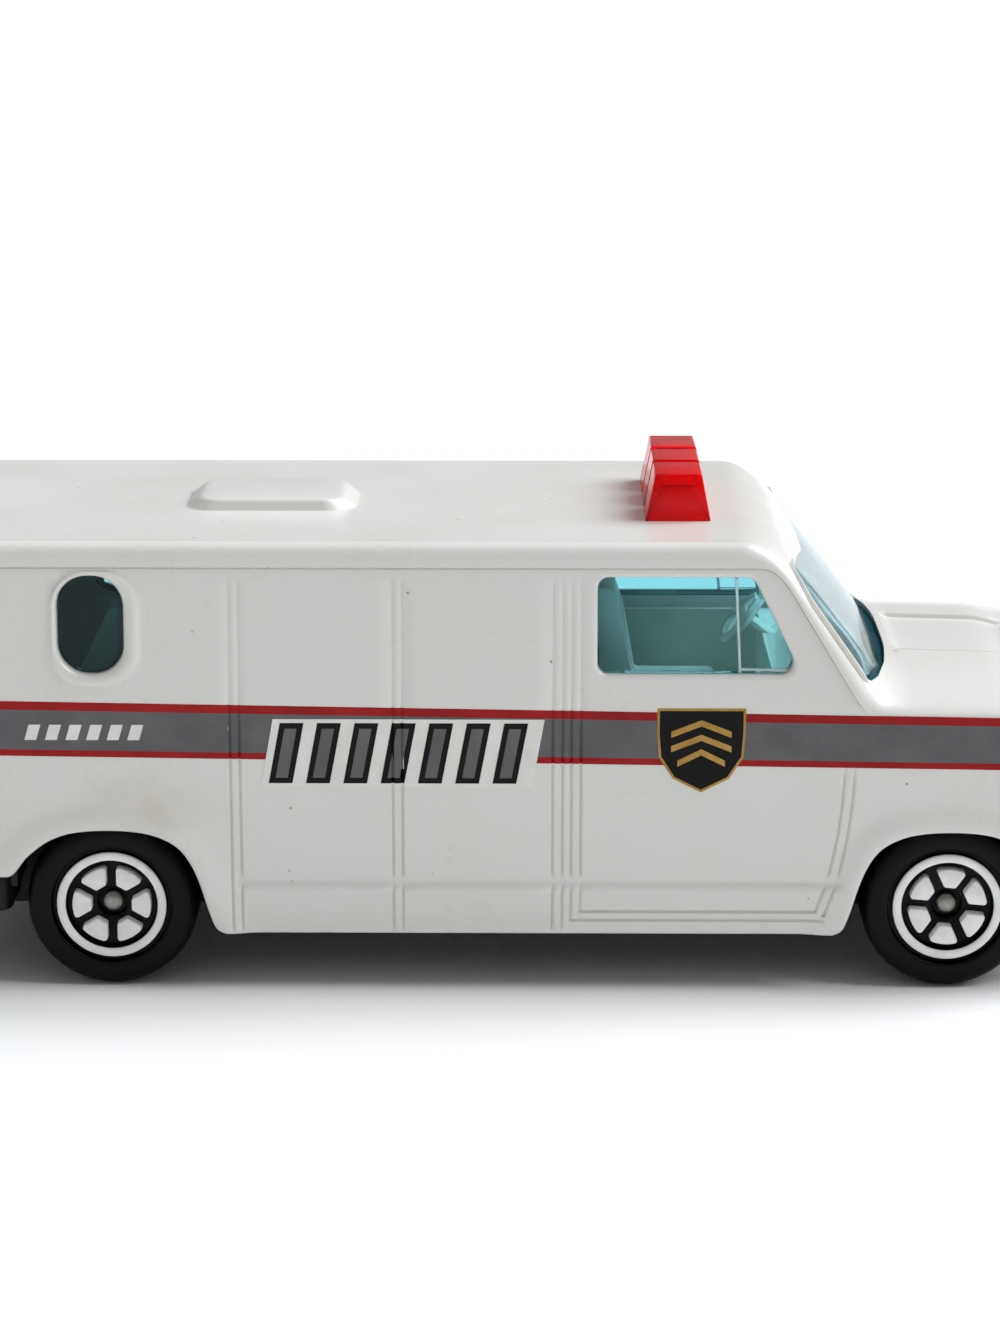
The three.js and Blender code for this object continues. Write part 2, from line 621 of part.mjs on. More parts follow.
function basePlate() {
  const midReach = wheelbase / 2 - wellRadius;
  const endReach = wheelbase / 2 + wellRadius + linerWall;
  const wellHead = wellTop + linerWall;
  const pieces = [
    box(-midReach, midReach, -baseHalf, baseHalf, baseFoot, baseTop),
    box(-endReach, endReach, -linerOuter, linerOuter, baseFoot, baseTop),
  ];
  for (const [end, axleX] of Object.entries(axleXs)) {
    const outward = Math.sign(axleX);
    const [x0, x1] = [axleX - wellRadius, axleX + wellRadius];
    const [front, back] = outward > 0 ? [linerFoot, baseFoot] : [baseFoot, linerFoot];
    for (const side of [-1, 1]) {
      const span = (near, far) => [side * near, side * far].sort((a, b) => a - b);
      const across = span(linerInner, baseHalf);
      pieces.push(box(x0 - linerWall, x1 + linerWall, ...span(linerInner, linerOuter), baseFoot, wellHead));
      pieces.push(box(x0 - linerWall, x1 + linerWall, ...across, wellTop, wellHead));
      pieces.push(box(x0 - linerWall, x0, ...across, back, wellHead));
      pieces.push(box(x1, x1 + linerWall, ...across, front, wellHead));
    }
    const bumperStart = axleX + outward * (wellRadius + linerWall / 2);
    const [b0, b1] = [bumperStart, bumperXs[end]].sort((a, b) => a - b);
    const bumperHalf = half - bumperInset;
    const bumper = roundedBox(b0, b1, -bumperHalf, bumperHalf, bumperCorner);
    pieces.push(prism(bumper, "z", bumperFoot, endEdgeHeight - fitGap, 4));
  }
  let base = joined(pieces);
  for (const axleX of Object.values(axleXs)) base = base.subtract(axleSlot(axleX));
  for (const x of Object.values(postXs)) base = base.subtract(rivetBore(x));
  return base;
}

// The open-topped slot that an axle drops into
function axleSlot(axleX) {
  const radius = axleRadius + runningGap;
  const shape = new THREE.Shape();
  shape.moveTo(axleX + radius, wellTop + beyond);
  shape.lineTo(axleX - radius, wellTop + beyond);
  shape.lineTo(axleX - radius, axleHeight);
  shape.absarc(axleX, axleHeight, radius, Math.PI, 2 * Math.PI);
  return prism(shape, "y", -linerOuter, linerOuter, 8);
}

// Interior: floor, sides, seats, dash, steering wheel and the keepers that hold the axles down

function seatOutline() {
  const floor = tubFloor + tubWall / 2;
  const cushion = tubFloor + tubWall + cushionHeight;
  const top = tubFloor + tubWall + seatHeight;
  const foot = seatRear + seatRecline;
  return roundedOutline([
    [foot, floor, seatFootCorner],
    [seatRear + seatLength, floor, seatFootCorner],
    [seatRear + seatLength, cushion, seatCorner],
    [foot + seatThickness, cushion, seatCorner / 2],
    [seatRear + seatThickness, top, seatCorner],
    [seatRear, top, seatCorner],
  ]);
}

function steeringWheel() {
  const rim = solid(new THREE.TorusGeometry(steeringRadius, steeringRim, 6, 20));
  const spokeHalf = steeringRim / 2;
  const spoke = box(-steeringRim, steeringRim, -steeringRadius, steeringRadius, -spokeHalf, spokeHalf);
  const column = bar(steeringRim, "z", -columnLength, steeringRim / 2, [0, 0, 0], 10);
  const centre = [tubFront - dashDepth - steeringReach, steeringSide, glassFoot - fitGap + steeringReach];
  const turned = new THREE.Matrix4().makeRotationY(steeringTilt).setPosition(...centre);
  return joined([rim, spoke, column]).transform(turned.toArray());
}

function interior() {
  const tubRear = postXs.rear + postRadius + fitGap;
  const tongueFront = axleXs.front + keeperLength / 2;
  const floorTop = tubFloor + tubWall;
  const wallTop = glassFoot - fitGap;
  const inner = tubHalf - tubWall;
  const pieces = [
    box(tubRear, tubFront, -tubHalf, tubHalf, tubFloor, floorTop),
    box(tubFront - dashDepth, tongueFront, -tongueHalf, tongueHalf, tubFloor, floorTop),
    box(tubRear, tubFront, -tubHalf, -inner, tubFloor, wallTop),
    box(tubRear, tubFront, inner, tubHalf, tubFloor, wallTop),
    box(tubRear, tubRear + tubWall, -tubHalf, tubHalf, tubFloor, wallTop),
    box(tubFront - dashDepth, tubFront, -tubHalf, tubHalf, tubFloor, wallTop),
  ];
  for (const axleX of Object.values(axleXs)) {
    for (const side of [-1, 1]) {
      const y = (side * keeperSpread) / 2;
      const foot = axleHeight + axleRadius + runningGap;
      pieces.push(box(axleX - keeperLength / 2, axleX + keeperLength / 2,
        y - keeperWidth / 2, y + keeperWidth / 2, foot, floorTop));
    }
  }
  for (const side of [-1, 1]) {
    const near = (side * seatGapWidth) / 2;
    const [y0, y1] = [near, near + side * seatWidth].sort((a, b) => a - b);
    pieces.push(prism(seatOutline(), "y", y0, y1, 3));
  }
  return joined([...pieces, steeringWheel()]);
}

// Grille and headlamps in the nose

function grilleOutline(margin) {
  const reach = grilleWidth / 2 + margin;
  return roundedBox(-reach, reach, grilleFoot - margin, grilleFoot + grilleHeight + margin, windowCorner);
}

function grille() {
  const back = noseX - wall - fitGap;
  const face = noseX - grilleRecess;
  let insert = prism(grilleOutline(-fitGap), "x", back - flangeThickness, face, 4);
  insert = insert.add(prism(grilleOutline(grilleFlange), "x", back - flangeThickness, back, 4));
  const lampY = grilleWidth / 2 - fitGap - headlampRadius - slotDepth;
  const slotReach = lampY - headlampRadius - slotDepth;
  const pitch = grilleHeight / (grilleSlots + 1);
  for (let k = 1; k <= grilleSlots; k++) {
    const z = grilleFoot + k * pitch;
    insert = insert.subtract(
      box(face - slotDepth, face + beyond, -slotReach, slotReach, z - pitch / 4, z + pitch / 4));
  }
  const lampZ = grilleFoot + grilleHeight / 2;
  for (const side of [-1, 1]) {
    insert = insert.add(bar(headlampRadius, "x", back, face + headlampReach, [0, side * lampY, lampZ], 20));
  }
  return insert;
}

// Axles, wheels and rivets

function axle() {
  const head = wheelFace - hubRecess + seatGap;
  const end = head + axleHeadLength;
  const pieces = [bar(axleRadius, "y", -end, end, [0, 0, 0], 16)];
  for (const side of [-1, 1]) {
    const [y0, y1] = [side * head, side * end].sort((a, b) => a - b);
    pieces.push(bar(axleHeadRadius, "y", y0, y1, [0, 0, 0], 16));
  }
  return joined(pieces);
}

// A wheel turned about the axle, with its outer face to +Y and its pads turned by an angle
function wheel(padAngle) {
  const flat = 1 / Math.cos(Math.PI / wheelSides);
  const radius = (wheelDiameter / 2) * flat;
  const bore = (axleRadius + runningGap) * flat;
  const ringInner = ringRadius - ringWidth;
  const wallInner = ringRadius + ringGroove;
  const recessed = wheelFace - faceRecess;
  const hub = wheelFace - hubRecess;
  const boss = linerOuter + wheelClearance / 4;
  const profile = [
    [bore, boss], [bossRadius, boss], [bossRadius, wheelBack],
    [radius - shoulderRound / 2, wheelBack], [radius, wheelBack + shoulderRound / 2],
  ];
  for (let k = 0; k <= 3; k++) {
    const angle = (k / 3) * (Math.PI / 2);
    const r = radius - shoulderRound * (1 - Math.cos(angle));
    profile.push([r, wheelFace - shoulderRound * (1 - Math.sin(angle))]);
  }
  profile.push([wallInner, wheelFace], [wallInner, recessed]);
  profile.push([ringRadius, recessed], [ringRadius, wheelFace]);
  profile.push([ringInner, wheelFace], [ringInner, recessed], [hubRecessRadius, recessed]);
  profile.push([hubRecessRadius, hub], [bore, hub], [bore, boss]);
  const points = profile.map(([r, y]) => new THREE.Vector2(r, y));
  const pieces = [solid(new THREE.LatheGeometry(points, wheelSides, Math.PI / wheelSides))];
  for (let k = 0; k < padCount; k++) {
    const middle = padAngle + (k / padCount) * 2 * Math.PI;
    const spread = (r) => Math.PI / padCount - Math.asin(padGap / 2 / r);
    const pad = new THREE.Shape();
    const corner = (r, sign) => {
      const angle = middle + sign * spread(r);
      return [r * Math.cos(angle), r * Math.sin(angle)];
    };
    pad.moveTo(...corner(padInner, -1));
    pad.lineTo(...corner(padOuter, -1));
    pad.absarc(0, 0, padOuter, middle - spread(padOuter), middle + spread(padOuter));
    pad.lineTo(...corner(padInner, 1));
    pieces.push(prism(pad, "y", recessed - faceRecess, wheelFace, 2));
  }
  return joined(pieces);
}

function rivet() {
  const shank = bar(rivetRadius, "z", baseFoot - rivetHeadHeight, baseTop + rivetDepth, [0, 0, 0], 16);
  return shank.add(bar(rivetHeadRadius, "z", baseFoot - rivetHeadHeight, baseFoot, [0, 0, 0], 16));
}

addPiece("body_casting", bodyCasting(), whiteEnamel);
addPiece("base_plate", basePlate(), blackPlastic);
addPiece("window_insert", windowInsert(), tealClear);
addPiece("interior", interior(), palePlastic);
addPiece("light_bar", lightBar(), redClear);
addPiece("grille", grille(), silverCoat);
for (const [end, axleX] of Object.entries(axleXs)) {
  addPiece(`${end}_rivet`, rivet(), steel).position.x += postXs[end];
  addPiece(`${end}_axle`, axle(), steel).position.set(toMiddle + axleX, 0, axleHeight);
  for (const side of ["left", "right"]) {
    const mesh = addPiece(`wheel_${end}_${side}`, wheel(padAngles[end]), wheelPlastic);
    mesh.position.set(toMiddle + axleX, 0, axleHeight);
    if (side === "right") mesh.rotation.z = Math.PI;
  }
}

export default van;
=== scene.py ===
import math

import bmesh
import bpy
from mathutils import Matrix, Vector


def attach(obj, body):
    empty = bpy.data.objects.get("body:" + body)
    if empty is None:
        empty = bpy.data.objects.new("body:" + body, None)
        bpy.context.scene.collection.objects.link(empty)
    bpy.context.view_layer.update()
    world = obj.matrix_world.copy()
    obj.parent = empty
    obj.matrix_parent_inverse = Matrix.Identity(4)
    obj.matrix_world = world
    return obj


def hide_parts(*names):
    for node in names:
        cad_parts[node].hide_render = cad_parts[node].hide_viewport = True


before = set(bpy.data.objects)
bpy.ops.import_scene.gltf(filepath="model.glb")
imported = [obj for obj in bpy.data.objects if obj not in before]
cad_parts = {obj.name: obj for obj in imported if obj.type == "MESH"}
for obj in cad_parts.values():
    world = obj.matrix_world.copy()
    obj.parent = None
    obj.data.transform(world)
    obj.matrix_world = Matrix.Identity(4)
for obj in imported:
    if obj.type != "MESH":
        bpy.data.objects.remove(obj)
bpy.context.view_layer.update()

mm = 0.001

# camera, light and floor

view = {
    "place": (0.0016, -0.2276, 0.0790), "turn": (75.0, 0.0, 0.5), "lens": 95.55, "sensor": 36, "near": 0.005,
}
studio = {
    "sky": 0.28, "floor": "#f6f6f6", "floorHalf": 6.0,
    "key": {"from": (0.7, 0.12, 0.78), "angle": 45.0, "strength": 4.25, "tint": (0.95, 0.97, 1.0)},
}


def hexColour(text):
    shares = [int(text[k:k + 2], 16) / 255 for k in (1, 3, 5)]
    return tuple(s / 12.92 if s <= 0.04045 else ((s + 0.055) / 1.055) ** 2.4 for s in shares) + (1.0,)


def addNode(tree, kind, settings=None, feeds=None):
    made = tree.nodes.new(kind)
    for name, value in (settings or {}).items():
        setattr(made, name, value)
    for socket, value in (feeds or {}).items():
        if isinstance(value, bpy.types.NodeSocket):
            tree.links.new(value, made.inputs[socket])
        else:
            made.inputs[socket].default_value = value
    return made


def newMaterial(name, sockets):
    material = bpy.data.materials.new(name)
    material.use_nodes = True
    shader = material.node_tree.nodes["Principled BSDF"]
    for socket, value in sockets.items():
        shader.inputs[socket].default_value = value
    return material, material.node_tree, shader


def makeStudio():
    camera = bpy.data.objects.new("camera", bpy.data.cameras.new("camera"))
    camera.location = view["place"]
    camera.rotation_euler = [math.radians(a) for a in view["turn"]]
    camera.data.lens = view["lens"]
    camera.data.sensor_width = view["sensor"]
    camera.data.clip_start = view["near"]
    bpy.context.scene.collection.objects.link(camera)
    bpy.context.scene.camera = camera
    world = bpy.data.worlds.new("studio")
    world.use_nodes = True
    world.node_tree.nodes["Background"].inputs["Color"].default_value = (1, 1, 1, 1)
    world.node_tree.nodes["Background"].inputs["Strength"].default_value = studio["sky"]
    bpy.context.scene.world = world
    key = bpy.data.objects.new("key", bpy.data.lights.new("key", "SUN"))
    key.data.energy = studio["key"]["strength"]
    key.data.color = studio["key"]["tint"]
    key.data.angle = math.radians(studio["key"]["angle"])
    key.rotation_euler = (-Vector(studio["key"]["from"])).to_track_quat("-Z", "Y").to_euler()
    bpy.context.scene.collection.objects.link(key)
    bpy.context.scene.view_settings.view_transform = "Standard"
    sheet = bmesh.new()
    bmesh.ops.create_grid(sheet, x_segments=1, y_segments=1, size=studio["floorHalf"])
    mesh = bpy.data.meshes.new("floor")
    sheet.to_mesh(mesh)
    sheet.free()
    floor = bpy.data.objects.new("floor", mesh)
    bpy.context.scene.collection.objects.link(floor)
    paper = newMaterial("paper_floor", {"Base Color": hexColour(studio["floor"]), "Roughness": 0.9})[0]
    mesh.materials.append(paper)
    print("camera, light and floor made")


makeStudio()


# materials

def perMm(size):  # texture scale whose pattern repeats about every size mm
    return 1 / (size * mm)


def surfaceNoise(tree, size, detail=3.0, rough=0.55):
    place = addNode(tree, "ShaderNodeTexCoord")
    return addNode(tree, "ShaderNodeTexNoise", None, {
        "Vector": place.outputs["Object"], "Scale": perMm(size), "Detail": detail, "Roughness": rough})


def tone(tree, source, low, high, colours):  # two colours over part of a pattern's range
    ramp = addNode(tree, "ShaderNodeValToRGB", None, {"Fac": source})
    ramp.color_ramp.elements[0].position = low
    ramp.color_ramp.elements[1].position = high
    ramp.color_ramp.elements[0].color = colours[0]
    ramp.color_ramp.elements[1].color = colours[1]
    return ramp.outputs["Color"]


def spread(tree, source, low, high):  # the middle of a pattern's range spread over low to high
    return addNode(tree, "ShaderNodeMapRange", None, {
        "Value": source, "From Min": 0.3, "From Max": 0.7, "To Min": low, "To Max": high}).outputs["Result"]


def grainOn(tree, shader, source, depth):  # relief of a pattern, its depth in millimetres
    bump = addNode(tree, "ShaderNodeBump", None, {"Height": source, "Strength": 1.0, "Distance": depth * mm})
    tree.links.new(bump.outputs["Normal"], shader.inputs["Normal"])


enamelLook = {
    "tones": ("#dbdad4", "#e0dfdb"), "patch": 9.0, "rough": (0.24, 0.36), "peel": 0.55, "peelDepth": 0.006,
    "speck": "#8f8a80", "speckPitch": 1.5, "speckSize": (0.035, 0.075), "speckShare": 0.86,
    "stain": "#bfae90", "stainPlace": (-0.0229, 0, 0.0125), "stainReach": (0.006, 0.05, 0.0028),
    "stainPatch": 1.6, "stainDepth": 0.5,
}


def whiteEnamel():  # sprayed gloss enamel on zinc: faint orange peel, dust specks, a handling stain
    look = enamelLook
    material, tree, shader = newMaterial(
        "sprayed_white_enamel", {"IOR": 1.5, "Coat Weight": 0.25, "Coat Roughness": 0.12})
    cloud = surfaceNoise(tree, look["patch"])
    base = tone(tree, cloud.outputs["Fac"], 0.2, 0.85, [hexColour(t) for t in look["tones"]])
    place = addNode(tree, "ShaderNodeTexCoord")
    specks = addNode(tree, "ShaderNodeTexVoronoi", {"feature": "F1"}, {
        "Vector": place.outputs["Object"], "Scale": perMm(look["speckPitch"]), "Randomness": 1.0})
    small, large = look["speckSize"]
    speckMask = addNode(tree, "ShaderNodeMapRange", None, {
        "Value": specks.outputs["Distance"],
        "From Min": small, "From Max": large, "To Min": 1.0, "To Max": 0.0})
    pick = addNode(tree, "ShaderNodeSeparateColor", None, {"Color": specks.outputs["Color"]})
    some = addNode(tree, "ShaderNodeMath", {"operation": "GREATER_THAN"}, {
        0: pick.outputs["Red"], 1: look["speckShare"]})
    speck = addNode(tree, "ShaderNodeMath", {"operation": "MULTIPLY"}, {
        0: speckMask.outputs["Result"], 1: some.outputs[0]})
    dusty = addNode(tree, "ShaderNodeMix", {"data_type": "RGBA"}, {
        0: speck.outputs[0], 6: base, 7: hexColour(look["speck"])})
    near = addNode(tree, "ShaderNodeMapping", {"vector_type": "TEXTURE"}, {
        "Vector": place.outputs["Object"], "Location": look["stainPlace"], "Scale": look["stainReach"]})
    glow = addNode(tree, "ShaderNodeTexGradient", {"gradient_type": "SPHERICAL"}, {
        "Vector": near.outputs["Vector"]})
    blot = surfaceNoise(tree, look["stainPatch"], 4.0)
    stain = addNode(tree, "ShaderNodeMath", {"operation": "MULTIPLY"}, {
        0: glow.outputs["Fac"], 1: spread(tree, blot.outputs["Fac"], 0.0, look["stainDepth"])})
    worn = addNode(tree, "ShaderNodeMix", {"data_type": "RGBA"}, {
        0: stain.outputs[0], 6: dusty.outputs[2], 7: hexColour(look["stain"])})
    tree.links.new(worn.outputs[2], shader.inputs["Base Color"])
    tree.links.new(spread(tree, cloud.outputs["Fac"], *look["rough"]), shader.inputs["Roughness"])
    peel = surfaceNoise(tree, look["peel"], 2.0)
    grainOn(tree, shader, peel.outputs["Fac"], look["peelDepth"])
    return material


def mouldedPlastic(name, dark, light, rough, patch, grain, depth, sockets=None):  # cloudy tone, fine grain
    material, tree, shader = newMaterial(name, sockets or {})
    cloud = surfaceNoise(tree, patch)
    colour = tone(tree, cloud.outputs["Fac"], 0.35, 0.68, (hexColour(dark), hexColour(light)))
    tree.links.new(colour, shader.inputs["Base Color"])
    tree.links.new(spread(tree, cloud.outputs["Fac"], *rough), shader.inputs["Roughness"])
    grainOn(tree, shader, surfaceNoise(tree, grain, 2.0).outputs["Fac"], depth)
    return material


def clearPlastic(name, colour, rough, depth, clear, index):  # faint flow marks in the gloss
    material, tree, shader = newMaterial(name, {
        "Base Color": hexColour(colour), "Transmission Weight": clear, "IOR": index, "Roughness": rough})
    haze = surfaceNoise(tree, 2.2)
    tree.links.new(spread(tree, haze.outputs["Fac"], rough * 0.5, rough * 1.8), shader.inputs["Roughness"])
    grainOn(tree, shader, haze.outputs["Fac"], depth)
    return material


metal = {"Metallic": 1.0}
printed = {"Specular IOR Level": 0.12}  # pad-print ink is duller than the enamel
enamel = whiteEnamel()
overspray = mouldedPlastic(  # thin coat that drifted inside the casting: dull and grainy
    "thin_white_overspray", "#ecece8", "#f4f4f0", (0.45, 0.62), 3.0, 0.4, 0.02)
basePlastic = mouldedPlastic(  # satin moulded base: soft sheen, no clear reflection
    "black_base_plastic", "#0d0e10", "#17181a", (0.38, 0.52), 4.0, 0.35, 0.008, {"Specular IOR Level": 0.25})
wheelPlastic = mouldedPlastic(  # hard moulded wheel: deep black, faint sheen on the shoulder
    "black_wheel_plastic", "#060709", "#0b0c0f", (0.34, 0.46), 2.5, 0.3, 0.006, {"Specular IOR Level": 0.12})
stampWhite = mouldedPlastic(  # hot foil stamp: clean white with small uneven spots
    "white_foil_stamp", "#ececea", "#f9f9f7", (0.3, 0.48), 0.9, 0.25, 0.01)
palePlastic = mouldedPlastic(  # pale satin seats
    "pale_seat_plastic", "#eeefe6", "#f7f7f0", (0.4, 0.55), 3.0, 0.4, 0.008)
silverCoat = mouldedPlastic(  # vacuum-coated insert: bright, slightly cloudy
    "silver_coated_plastic", "#b9bcc0", "#d2d4d6", (0.22, 0.34), 2.0, 0.3, 0.005, metal)
axleSteel = mouldedPlastic(  # drawn wire with a pressed head: grey and scuffed
    "drawn_steel_wire", "#85827d", "#a09d97", (0.34, 0.5), 0.6, 0.12, 0.01, metal)
tealClear = clearPlastic(  # clear tinted panes: the cabin shows through
    "teal_clear_polystyrene", "#b8e8ed", 0.02, 0.0003, 1.0, 1.22)
tealHazed = clearPlastic(  # the windscreen, dulled by handling
    "teal_hazed_polystyrene", "#c4ecf2", 0.05, 0.0003, 1.0, 1.22)
frosted = clearPlastic(  # raised bars of the quarter light: matt and pale
    "teal_frosted_bar", "#e4f6f6", 0.35, 0.004, 0.35, 1.4)
paintedShadeTeal = mouldedPlastic(  # painted shade: a dark sheet standing in for the shadowed gap at the windscreen's foot, no sheen
    "teal_painted_shade_sheet", "#1d434b", "#2a545d", (0.5, 0.6), 2.0, 0.3, 0.002, {"Specular IOR Level": 0.0})
redClear = clearPlastic(  # thick clear red: glows where light passes
    "red_clear_polystyrene", "#ff0c12", 0.12, 0.002, 0.72, 1.25)
printRed, printGrey, printBlack, printGold = [  # thin even ink films
    mouldedPlastic(name + "_pad_print", dark, light, rough, patch, grain, 0.004, printed)
    for name, dark, light, rough, patch, grain in (
        ("red", "#94191d", "#a42024", (0.32, 0.45), 2.0, 0.4),
        ("grey", "#5f5f61", "#6a6a6c", (0.34, 0.48), 2.5, 0.4),
        ("black", "#0b0b0c", "#131314", (0.32, 0.45), 2.0, 0.4),
        ("gold", "#a5803a", "#bb9650", (0.3, 0.42), 1.2, 0.3))]
printWhite = mouldedPlastic(  # white ink, glossier than the others
    "white_pad_print", "#dddcd6", "#e8e7e2", (0.32, 0.45), 2.0, 0.4, 0.004)
print("materials made")


# flat modelling: sheets are cut and embossed flat, in millimetres, then wrapped on the van's form

def finishPiece(name, shape, materials, body, replaced=(), keenAngle=38):
    move(shape, (form["ahead"], 0, 0))
    stretch(shape, (mm, mm, mm))
    mesh = bpy.data.meshes.new(name)
    shape.to_mesh(mesh)
    shape.free()
    for material in materials:
        mesh.materials.append(material)
    mesh.shade_smooth()
    mesh.set_sharp_from_angle(angle=math.radians(keenAngle))
    piece = bpy.data.objects.new(name, mesh)
    bpy.context.scene.collection.objects.link(piece)
    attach(piece, body)
    if replaced:
        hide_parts(*replaced)
    print(f"{name}: {len(mesh.polygons)} faces")


def parts(geometry, kind):
    return [g for g in geometry if isinstance(g, kind)]


def everything(shape):
    return shape.verts[:] + shape.edges[:] + shape.faces[:]


def weld(shape, distance):
    bmesh.ops.remove_doubles(shape, verts=shape.verts[:], dist=distance)


def flip(shape):
    bmesh.ops.reverse_faces(shape, faces=shape.faces[:])


def faceOut(shape):
    bmesh.ops.recalc_face_normals(shape, faces=shape.faces[:])


def move(shape, way):
    bmesh.ops.translate(shape, vec=way, verts=shape.verts)


def stretch(shape, factors):
    bmesh.ops.scale(shape, vec=factors, verts=shape.verts)


def fillIn(shape, edges, up=1):
    return bmesh.ops.triangle_fill(shape, use_beauty=True, edges=edges, normal=(0, 0, up))["geom"]


def raiseTo(sheet, height):
    for vert in sheet.verts:
        vert.co.z = height(vert.co.x, vert.co.y)


def paint(faces, index):  # which of the piece's materials the faces take
    for face in faces:
        face.material_index = index


def joinShape(target, other):  # adds another bmesh to the target
    mesh = bpy.data.meshes.new("joining")
    other.to_mesh(mesh)
    other.free()
    target.from_mesh(mesh)
    bpy.data.meshes.remove(mesh)


def roundedLoop(corners, steps=6):  # (x, y, radius) corners, counterclockwise
    loop = []
    for k, (x, y, radius) in enumerate(corners):
        here = Vector((x, y))
        before = (Vector(corners[k - 1][:2]) - here).normalized()
        after = (Vector(corners[(k + 1) % len(corners)][:2]) - here).normalized()
        half = before.angle(after) / 2
        centre = here + (before + after).normalized() * radius / math.sin(half)
        start = here + before * radius / math.tan(half) - centre
        end = here + after * radius / math.tan(half) - centre
        arc = [start.slerp(end, s / steps) for s in range(steps + 1)]  # unit length
        loop += [centre + way * radius for way in arc]
    return loop


def densify(loop, step, closed=True):
    dense = []
    ends = loop[1:] + loop[:1] if closed else loop[1:]
    for a, b in zip(loop, ends):
        count = max(1, math.ceil((b - a).length / step))
        dense += [a.lerp(b, k / count) for k in range(count)]
    return dense if closed else dense + [loop[-1]]


def smoothPath(points, steps):  # a curve through every point
    path = []
    for k in range(len(points) - 1):
        p0, p1 = points[max(k - 1, 0)], points[k]
        p2, p3 = points[k + 1], points[min(k + 2, len(points) - 1)]
        for s in range(steps):
            t = s / steps
            path.append(0.5 * (2 * p1 + (p2 - p0) * t + (2 * p0 - 5 * p1 + 4 * p2 - p3) * t * t
                               + (3 * p1 - p0 - 3 * p2 + p3) * t * t * t))
    return path + [points[-1]]


def grown(loop, amount, closed=True):  # counterclockwise loops grow outwards
    moved = []
    for k, here in enumerate(loop):
        before = loop[k - 1] if closed or k else None
        after = loop[(k + 1) % len(loop)] if closed or k < len(loop) - 1 else None
        steps = [b - a for a, b in ((before, here), (here, after)) if a is not None and b is not None]
        sides = [Vector((s.y, -s.x)).normalized() for s in steps]
        away = sum(sides, Vector((0, 0))).normalized()
        moved.append(here + away * amount / max(away.dot(sides[0]), 0.4))
    return moved


def drawLoop(sheet, loop):
    corners = [sheet.verts.new((p.x, p.y, 0)) for p in loop]
    for a, b in zip(corners, corners[1:] + corners[:1]):
        sheet.edges.new((a, b))


def flatSheet(loops, xLines=(), yLines=()):  # filled outline with holes, cut along grid lines
    sheet = bmesh.new()
    for loop in loops:
        drawLoop(sheet, loop)
    fillIn(sheet, sheet.edges[:])
    for axis, lines in ((Vector((1, 0, 0)), xLines), (Vector((0, 1, 0)), yLines)):
        for at in lines:
            bmesh.ops.bisect_plane(sheet, geom=everything(sheet),
                                   dist=1e-4, plane_co=axis * at, plane_no=axis)
    slanted = []
    for edge in sheet.edges:
        step = edge.verts[0].co - edge.verts[1].co
        if len(edge.link_faces) == 2 and abs(step.x) > 1e-4 and abs(step.y) > 1e-4:
            slanted.append(edge)
    bmesh.ops.dissolve_edges(sheet, edges=slanted, use_verts=False)
    spare = []
    for vert in sheet.verts:
        if len(vert.link_edges) == 2 and not vert.is_boundary:
            a, b = [e.other_vert(vert).co - vert.co for e in vert.link_edges]
            if a.normalized().dot(b.normalized()) < -0.9999:
                spare.append(vert)
    bmesh.ops.dissolve_verts(sheet, verts=spare)
    return sheet


def around(loop):  # test for places in a loop's own box
    low = Vector((min(p.x for p in loop), min(p.y for p in loop))) - Vector((0.01, 0.01))
    high = Vector((max(p.x for p in loop), max(p.y for p in loop))) + Vector((0.01, 0.01))
    return lambda c: low.x < c.x < high.x and low.y < c.y < high.y


def rim(sheet, test=lambda c: True):  # open edges whose middle passes the test
    return [e for e in sheet.edges if e.is_boundary and test((e.verts[0].co + e.verts[1].co) / 2)]


def emboss(sheet, edges, profile, fill=False, toward=None, share=None):  # steps of (distance away, height)
    ring = {}
    for edge in edges:
        loop = edge.link_loops[0]
        step = loop.link_loop_next.vert.co - loop.vert.co
        side = Vector((step.y, -step.x, 0)).normalized()
        for vert in edge.verts:
            ring.setdefault(vert, []).append(side)
    track = {}
    for vert, sides in ring.items():
        away = sum(sides, Vector()).normalized()
        away = toward(vert.co) if toward else away / max(away.dot(sides[0]), 0.4)
        track[vert] = (vert.co.copy(), away)
    rings = []
    for distance, height in profile:
        made = bmesh.ops.extrude_edge_only(sheet, edges=edges)["geom"]
        fresh = set(parts(made, bmesh.types.BMVert))
        edges = [e for e in parts(made, bmesh.types.BMEdge) if e.verts[0] in fresh and e.verts[1] in fresh]
        moved = {}
        for vert in fresh:
            source = next(e.other_vert(vert) for e in vert.link_edges if e.other_vert(vert) in track)
            start, away = track[source]
            rise = height * share(start) if share and abs(height) < 0.3 else height  # only the bead fades
            vert.co = start + away * distance + Vector((0, 0, rise))
            moved[vert] = (start, away)
        track = moved
        rings.append(fresh)
    if fill:
        fillIn(sheet, edges)
    return rings


def acrossTo(outer, inner):  # the way from a place on one loop to the same place on another
    def way(place):
        best = None
        for k in range(len(outer)):
            a, b = outer[k - 1], outer[k]
            t = min(max((place.xy - a).dot(b - a) / max((b - a).length_squared, 1e-9), 0), 1)
            gap = (a.lerp(b, t) - place.xy).length
            if best is None or gap < best[0]:
                best = gap, inner[k - 1].lerp(inner[k], t) - a.lerp(b, t)
        return best[1].to_3d()
    return way


def addLiner(sheet, wall):  # the inner side of the wall, facing in
    made = bmesh.ops.duplicate(sheet, geom=everything(sheet))["geom"]
    for vert in parts(made, bmesh.types.BMVert):
        vert.co.z -= wall
    faces = parts(made, bmesh.types.BMFace)
    paint(faces, 1)
    bmesh.ops.reverse_faces(sheet, faces=faces)
    return made


